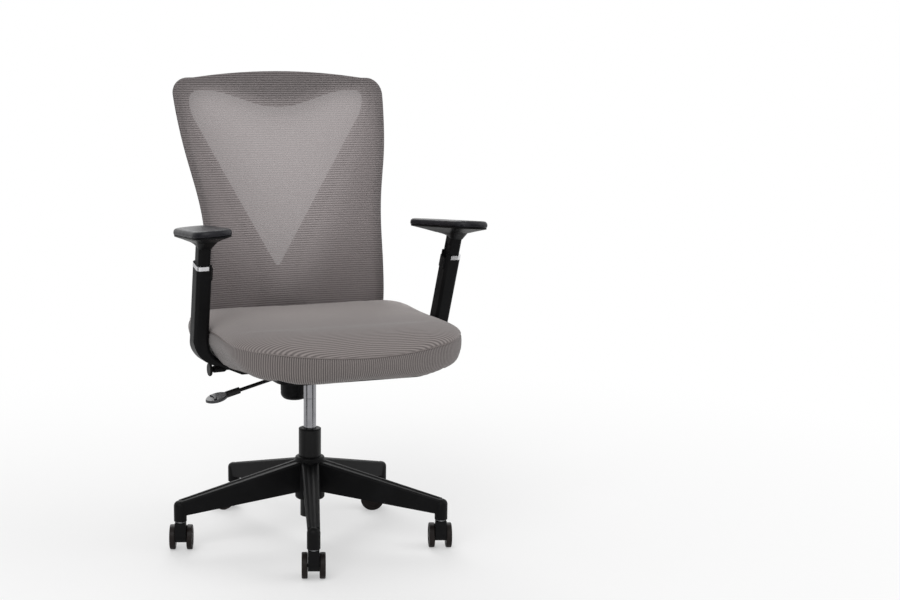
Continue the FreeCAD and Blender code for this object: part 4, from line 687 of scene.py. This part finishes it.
def tube_along(points, radius, name):
    """A closed round cord through some points, as a mesh."""
    line = bpy.data.curves.new(name, "CURVE")
    line.dimensions = "3D"
    line.bevel_depth = radius
    line.bevel_resolution = 2
    spline = line.splines.new("POLY")
    spline.points.add(len(points) - 1)
    for point, place in zip(spline.points, points):
        point.co = (*place, 1)
    spline.use_cyclic_u = True
    only(new_object(name, line))
    bpy.ops.object.convert(target="MESH")
    return bpy.context.view_layer.objects.active


class CHAIR_OT_seat(bpy.types.Operator):
    """Seat cushion: swollen foam in a knitted cover, boxed with a ribbed side band"""
    bl_idname = "chair.seat"
    bl_label = "Seat cushion"

    def execute(self, context):
        sizes = context.scene.chair_sizes
        yarn = tuple(context.scene.chair_colours.seat_yarn)
        cover, seam = build_seat_cover(Foam(sizes.seat_crown))
        paint_piece(cover, seat_knit("seat_knit", yarn, sizes.rib_pitch))
        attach(cover, "seat")
        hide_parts("seat_cushion")

        edge = tube_along([place + Vector((0, 0, PIPING_RISE)) for place in seam], sizes.piping, "seat_piping")
        paint_piece(edge, knit_cord("piping_knit", yarn))
        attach(edge, "seat")
        return {"FINISHED"}


# ------------------------------------------------------------------ back

REACH_LIMITS = (0.05, 0.6) # least and greatest distance of the back's edge from its middle
COVER_PROUD = 0.0008       # the cover's front, before the CAD sheet's
FRONT_INSET = 0.0022       # where the roll round the rim begins, inside the outline
RIM_INSET = 0.006          # where the rim's faces are measured, inside the outline

# The cover's way round the rim, ring by ring: how far inside the outline it lies, how far behind a face, and whether
# that face is the rim's rear one instead of the front sheet.
ROLL = (
    (-0.0002, 0.0022, False),
    (-0.0012, 0.006, False),
    (-0.0012, 0.012, False),
    (0.0, 0.0, True),
    (0.003, 0.0012, True),
    (0.010, 0.0014, True),
    (0.0135, 0.0014, True),
)

PANEL_ROWS = 84
PANEL_COLUMNS = 24
PANEL_FOOT = 0.006         # the panels' lower edge, above the outline's lowest point
PANEL_HEAD = 0.014         # the panels' upper edge, below the top of the spine
PANEL_OVERLAP = 0.006      # how far inside the outline a panel's outer edge is sewn
PANEL_WIDTH = 0.002        # least width of a panel, where the rim comes close to the spine
PANEL_PROUD = 0.0024       # its outer edge, behind the rim's rear face
RIM_PROBE = 0.007          # where that face is looked for, inside the outline
RIM_REAR = 0.2             # the face's depth where it isn't met
SPINE_PROBES = (0.002, 0.008)  # where the spine's rear face is looked for, inside its side
PANEL_SAG = 0.004          # how far a panel is drawn in halfway across
SEWN_DEPTH = 0.0018        # how far its outer edge is sunk under the cover's hem
SPINE_DEPTH = 0.007        # how far its inner edge lies below the spine's rear face


class Outline:
    """Edge of the back seen from the front, as its distance from a middle in each direction."""

    def __init__(self, count=720):
        low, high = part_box("rim_frame")
        self.middle_z = (low.z + high.z) / 2
        tree = tree_of(CAD["rim_frame"], CAD["front_mesh"])

        def reach(angle):
            """Distance at which the back ends in a direction."""
            across, upward = math.cos(angle), math.sin(angle)
            return last_inside(
                lambda radius: hit_y(tree, radius * across, self.middle_z + radius * upward) is not None,
                *REACH_LIMITS, halvings=20)

        self.reach = [reach(2 * math.pi * k / count) for k in range(count)]

    def at(self, angle):
        """Distance of the edge in a direction."""
        count = len(self.reach)
        place = angle / (2 * math.pi) * count
        first = math.floor(place)
        share = place - first
        return self.reach[first % count] * (1 - share) + self.reach[(first + 1) % count] * share

    def point(self, angle, inset):
        """Place in x and z, some way inside the edge."""
        radius = self.at(angle) - inset
        return radius * math.cos(angle), self.middle_z + radius * math.sin(angle)

    def half_width(self, z):
        """Half width of the back at a height."""
        low, high = (-math.pi / 2, 0.0) if z < self.middle_z else (0.0, math.pi / 2)
        angle = last_inside(lambda angle: self.point(angle, 0)[1] < z, low, high, halvings=30)
        return self.point(angle, 0)[0]


def build_back_cover(outline, sheet, rim):
    """A square grid, 1 from its middle to each side, drawn out to the back's outline and rolled round the rim."""
    bpy.ops.object.select_all(action="DESELECT")
    bpy.ops.mesh.primitive_grid_add(x_subdivisions=90, y_subdivisions=110, size=2)
    cover = bpy.context.view_layer.objects.active
    cover.name = "back_cover"
    shape = bmesh.new()
    shape.from_mesh(cover.data)
    for vertex in shape.verts:
        u, v = vertex.co.x, vertex.co.y
        disc_x = u * math.sqrt(1 - v * v / 2)
        disc_y = v * math.sqrt(1 - u * u / 2)
        angle = math.atan2(disc_y, disc_x)
        radius = min(1.0, math.hypot(disc_x, disc_y)) * (outline.at(angle) - FRONT_INSET)
        x, z = radius * math.cos(angle), outline.middle_z + radius * math.sin(angle)
        vertex.co = (x, hit_y(sheet, x, z) - COVER_PROUD, z)
    border = [edge for edge in shape.edges if edge.is_boundary]
    for inset, behind, at_rear in ROLL:
        grown = bmesh.ops.extrude_edge_only(shape, edges=border)["geom"]
        border = [item for item in grown if isinstance(item, bmesh.types.BMEdge) and item.is_boundary]
        for vertex in [item for item in grown if isinstance(item, bmesh.types.BMVert)]:
            angle = math.atan2(vertex.co.z - outline.middle_z, vertex.co.x)
            x, z = outline.point(angle, inset)
            rim_x, rim_z = outline.point(angle, RIM_INSET)
            if at_rear:
                face = hit_y(rim, rim_x, rim_z, from_rear=True) or vertex.co.y
            else:
                face = hit_y(sheet, rim_x, rim_z) - COVER_PROUD
            vertex.co = (x, face + behind, z)
    bmesh.ops.recalc_face_normals(shape, faces=shape.faces)
    shape.to_mesh(cover.data)
    shape.free()
    apply_modifier(cover, "SMOOTH", factor=0.5, iterations=2)
    return cover


def rear_face(tree, z, *widths):
    """Y place of the rear face at a height, at the first of some half widths where it is met, or None."""
    met = [hit_y(tree, x, z, from_rear=True) for x in widths]
    return next((y for y in met if y is not None), None)


def spine_side(spine, z, widest=0.25, narrowest=0.02, step=0.001, clear=0.0008):
    """Outer half width of the spine at a height, just outside the place where it is met."""
    x = widest
    while x > narrowest and rear_face(spine, z, x) is None:
        x -= step
    return x + clear


def build_rear_panels(outline, rim, spine):
    """Two taut panels from the rim's rear to the sides of the spine."""
    low = outline.point(-math.pi / 2, 0)[1] + PANEL_FOOT
    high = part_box("back_spine")[1].z - PANEL_HEAD
    shape = bmesh.new()
    for side in (1, -1):
        grid = []
        for row in range(PANEL_ROWS + 1):
            z = low + (high - low) * row / PANEL_ROWS
            edge = outline.half_width(z)
            inner_x = spine_side(spine, z)
            outer_x = max(edge - PANEL_OVERLAP, inner_x + PANEL_WIDTH)
            outer_y = (rear_face(rim, z, edge - RIM_PROBE) or RIM_REAR) + PANEL_PROUD
            inner_y = (rear_face(spine, z, *(inner_x - inset for inset in SPINE_PROBES)) or outer_y) - SPINE_DEPTH
            line = []
            for column in range(PANEL_COLUMNS + 1):
                share = column / PANEL_COLUMNS
                sunk = math.sin(share * math.pi) * PANEL_SAG if column else SEWN_DEPTH
                x = outer_x + (inner_x - outer_x) * share
                y = outer_y + (inner_y - outer_y) * share - sunk
                line.append(shape.verts.new((side * x, y, z)))
            grid.append(line)
        for lower, upper in zip(grid, grid[1:]):
            for k in range(PANEL_COLUMNS):
                shape.faces.new((lower[k], lower[k + 1], upper[k + 1], upper[k]))
    return object_from(shape, "rear_panels")


class CHAIR_OT_back_cover(bpy.types.Operator):
    """Knitted sleeve of the back: taut front sheet, rolled round the rim to its rear"""
    bl_idname = "chair.back_cover"
    bl_label = "Back cover"

    def execute(self, context):
        yarn = tuple(context.scene.chair_colours.mesh_yarn)
        pitch = context.scene.chair_sizes.rib_pitch
        cover = build_back_cover(Outline(), tree_of(CAD["front_mesh"]), tree_of(CAD["rim_frame"]))
        paint_piece(cover, knitted_mesh("back_knit", yarn, pitch, ridge_cover=0.985, groove_cover=0.90, glow=0.55))
        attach(cover, "back")
        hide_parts("front_mesh")
        return {"FINISHED"}


class CHAIR_OT_rear_panels(bpy.types.Operator):
    """Knitted panels between the rim and the spine"""
    bl_idname = "chair.rear_panels"
    bl_label = "Rear panels"

    def execute(self, context):
        yarn = tuple(context.scene.chair_colours.mesh_yarn)
        pitch = context.scene.chair_sizes.rib_pitch
        panels = build_rear_panels(Outline(), tree_of(CAD["rim_frame"]), tree_of(CAD["back_spine"]))
        paint_piece(panels, knitted_mesh("panel_knit", yarn, pitch, ridge_cover=1.0, groove_cover=0.95, glow=0.3))
        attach(panels, "back")
        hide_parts("rear_mesh")
        return {"FINISHED"}


# ------------------------------------------------------------------ arms

PAD_VOXEL = 0.0025         # size of a remeshed arm pad's faces


class CHAIR_OT_arm_pads(bpy.types.Operator):
    """Soft arm pads with rolled edges and a crowned top"""
    bl_idname = "chair.arm_pads"
    bl_label = "Arm pads"

    def execute(self, context):
        skin = pad_leather("pad_skin", tuple(context.scene.chair_colours.pad_skin))
        for side in ("left", "right"):
            pad = softened_copy(f"arm_pad_{side}", f"arm_cushion_{side}", PAD_VOXEL)
            fill_box(pad, *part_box(f"arm_pad_{side}"))
            paint_piece(pad, skin)
            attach(pad, f"arm_{side}")
            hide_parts(f"arm_pad_{side}")
        return {"FINISHED"}


# ------------------------------------------------------------------ hard parts

GRIP_SHARE = 0.58          # where along the paddle its glossy leaf ends and the grip begins


def paint_nodes(material, *beginnings, holding=""):
    """Give a material to the CAD nodes whose names begin in some ways, and hold a word if one is given."""
    for name, node in CAD.items():
        if name.startswith(beginnings) and holding in name:
            paint_piece(node, material, smooth=False)


class CHAIR_OT_mouldings(bpy.types.Operator):
    """Nylon and steel parts that keep their machined shape"""
    bl_idname = "chair.mouldings"
    bl_label = "Mouldings and metal"

    def execute(self, context):
        colours = context.scene.chair_colours
        black = tuple(colours.moulding)
        nylon = moulded_nylon("black_nylon", black)
        base = moulded_nylon("base_nylon", tint(black, 1.15), rough=0.48, edge=0.002)
        wheel = moulded_nylon("wheel_nylon", hue(34, 30, 29), rough=0.36)
        coat = powder_coat("black_coat", tint(black, 0.9))
        chrome = bright_chrome("chrome", hue(150, 150, 153), hue(134, 134, 138))
        band_chrome = bright_chrome("band_chrome", hue(222, 222, 224), hue(205, 205, 208), rough=0.2)
        zinc = zinc_steel("zinc")
        low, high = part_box("height_paddle")
        grip_start = low.x + (high.x - low.x) * GRIP_SHARE
        paddle = glossy_paddle("paddle_gloss", tuple(colours.paddle), black, grip_start)

        paint_nodes(nylon, "arm_upright", "arm_post", "arm_button", "back_spine", "rim_frame", "seat_pan",
                    "tension_knob", "tilt_lock_knob", "guide_bush", "stem_sleeves")
        paint_nodes(base, "star_base")
        paint_nodes(base, "caster", holding="housing")
        paint_nodes(wheel, "caster", holding="wheel")
        paint_nodes(coat, "column_tube", "tilt_housing", "back_bracket", "height_lever", "tilt_lock_rod", "rod_clip")
        paint_nodes(chrome, "gas_cylinder")
        paint_nodes(band_chrome, "trim_band")
        paint_nodes(zinc, "thrust_bearing", "piston_rod", "seat_bolts", "back_screws", "tension_bolt",
                    "tension_spring", "back_pivot_pin", "valve_pin")
        paint_nodes(zinc, "caster", holding="pins")
        paint_nodes(paddle, "height_paddle")
        return {"FINISHED"}


# ------------------------------------------------------------------ stage

LAMP_TARGET = (0, 0, 0.55)
LAMPS = (                  # name, place, width and power in watts
    ("key", (-2.2, -2.6, 3.2), 2.4, 62),
    ("fill", (3.0, -1.8, 2.2), 2.6, 30),
    ("back", (0.6, 2.8, 2.8), 2.2, 45),
)
SKY_ON_OBJECT = 0.55       # the world's strength as light on the chair
SKY_SEEN = 1.0             # its strength where it is seen, also in gloss and through holes

FLAG_SIZE = (0.4, 1.16)
FLAG_TARGET = (0, 0, 0.6)
FLAGS = (("flag_left", (-1.06, -0.2, 0.6)), ("flag_right", (0.62, -0.9, 0.6)))

CAMERA_TARGET = Vector((0, 0, 0.4435))
CAMERA_AZIMUTH = math.radians(-20.9)
CAMERA_ELEVATION = math.radians(9.8)
CAMERA_DISTANCE = 3.31
CAMERA_LENS = 59.96
CAMERA_SHIFT = (0.1557, 0.0493)


def aim(obj, target):
    """Turn a lamp, a flag or the camera to a place."""
    obj.rotation_euler = (Vector(target) - obj.location).to_track_quat("-Z", "Y").to_euler()


def add_plane(name, size):
    """A square plane on the floor, left as the active object."""
    bpy.ops.object.select_all(action="DESELECT")
    bpy.ops.mesh.primitive_plane_add(size=size)
    plane = bpy.context.view_layer.objects.active
    plane.name = name
    return plane


def pale_world():
    """White sky, at full strength where it is seen and weaker as light."""
    world = bpy.data.worlds.new("studio")
    sky = Nodes(world)
    seen = sky.add("LightPath", output="Is Camera Ray")
    for kind in ("Is Glossy Ray", "Is Transmission Ray"):
        seen = seen.math("MAXIMUM", sky.add("LightPath", output=kind))
    strength = sky.add("MapRange", values={"Value": seen, "To Min": SKY_ON_OBJECT, "To Max": SKY_SEEN})
    white = sky.add("Background", values={"Color": (1, 1, 1), "Strength": strength})
    return sky.close(white, "OutputWorld")


class CHAIR_OT_stage(bpy.types.Operator):
    """Pale floor, soft lamps, dark flags for the metal to reflect, and the camera"""
    bl_idname = "chair.stage"
    bl_label = "Stage"

    def execute(self, context):
        scene = context.scene
        scene.view_settings.view_transform = "Standard"
        floor = add_plane("studio_floor", 40)
        paint_piece(floor, pale_floor("studio_floor"), smooth=False)
        scene.world = pale_world()

        for name, place, size, power in LAMPS:
            lamp = new_object(name, bpy.data.lights.new(name, "AREA"))
            lamp.data.size = size
            lamp.data.energy = power
            lamp.location = place
            aim(lamp, LAMP_TARGET)

        cloth = dark_flag_cloth("flag_cloth")
        for name, place in FLAGS:
            flag = add_plane(name, 1)
            flag.scale = (*FLAG_SIZE, 1)
            flag.location = place
            aim(flag, FLAG_TARGET)
            paint_piece(flag, cloth, smooth=False)
            flag.visible_camera = flag.visible_diffuse = flag.visible_shadow = False

        camera = new_object("camera", bpy.data.cameras.new("camera"))
        towards = Vector((math.sin(CAMERA_AZIMUTH) * math.cos(CAMERA_ELEVATION),
                          -math.cos(CAMERA_AZIMUTH) * math.cos(CAMERA_ELEVATION), math.sin(CAMERA_ELEVATION)))
        camera.location = CAMERA_TARGET + CAMERA_DISTANCE * towards
        aim(camera, CAMERA_TARGET)
        camera.data.lens = CAMERA_LENS
        camera.data.shift_x, camera.data.shift_y = CAMERA_SHIFT
        scene.camera = camera
        return {"FINISHED"}


# ------------------------------------------------------------------ add-on

STEPS = (CHAIR_OT_stage, CHAIR_OT_mouldings, CHAIR_OT_seat, CHAIR_OT_back_cover, CHAIR_OT_rear_panels,
         CHAIR_OT_arm_pads)


class CHAIR_PT_panel(bpy.types.Panel):
    """Sidebar list of the chair's pieces, colours and sizes"""
    bl_idname = "CHAIR_PT_panel"
    bl_label = "Mesh task chair"
    bl_space_type = "VIEW_3D"
    bl_region_type = "UI"
    bl_category = "Chair"

    def draw(self, context):
        for step in STEPS:
            self.layout.operator(step.bl_idname)
        for group in (context.scene.chair_colours, context.scene.chair_sizes):
            for key in group.bl_rna.properties.keys():
                if key not in ("rna_type", "name"):
                    self.layout.prop(group, key)


CLASSES = (ChairColours, ChairSizes, *STEPS, CHAIR_PT_panel)


def register():
    for item in CLASSES:
        bpy.utils.register_class(item)
    bpy.types.Scene.chair_colours = PointerProperty(type=ChairColours)
    bpy.types.Scene.chair_sizes = PointerProperty(type=ChairSizes)


def unregister():
    del bpy.types.Scene.chair_sizes
    del bpy.types.Scene.chair_colours
    for item in reversed(CLASSES):
        bpy.utils.unregister_class(item)


def main():
    register()
    for step in STEPS:
        group, call = step.bl_idname.split(".")
        getattr(getattr(bpy.ops, group), call)()


if __name__ == "__main__":
    main()
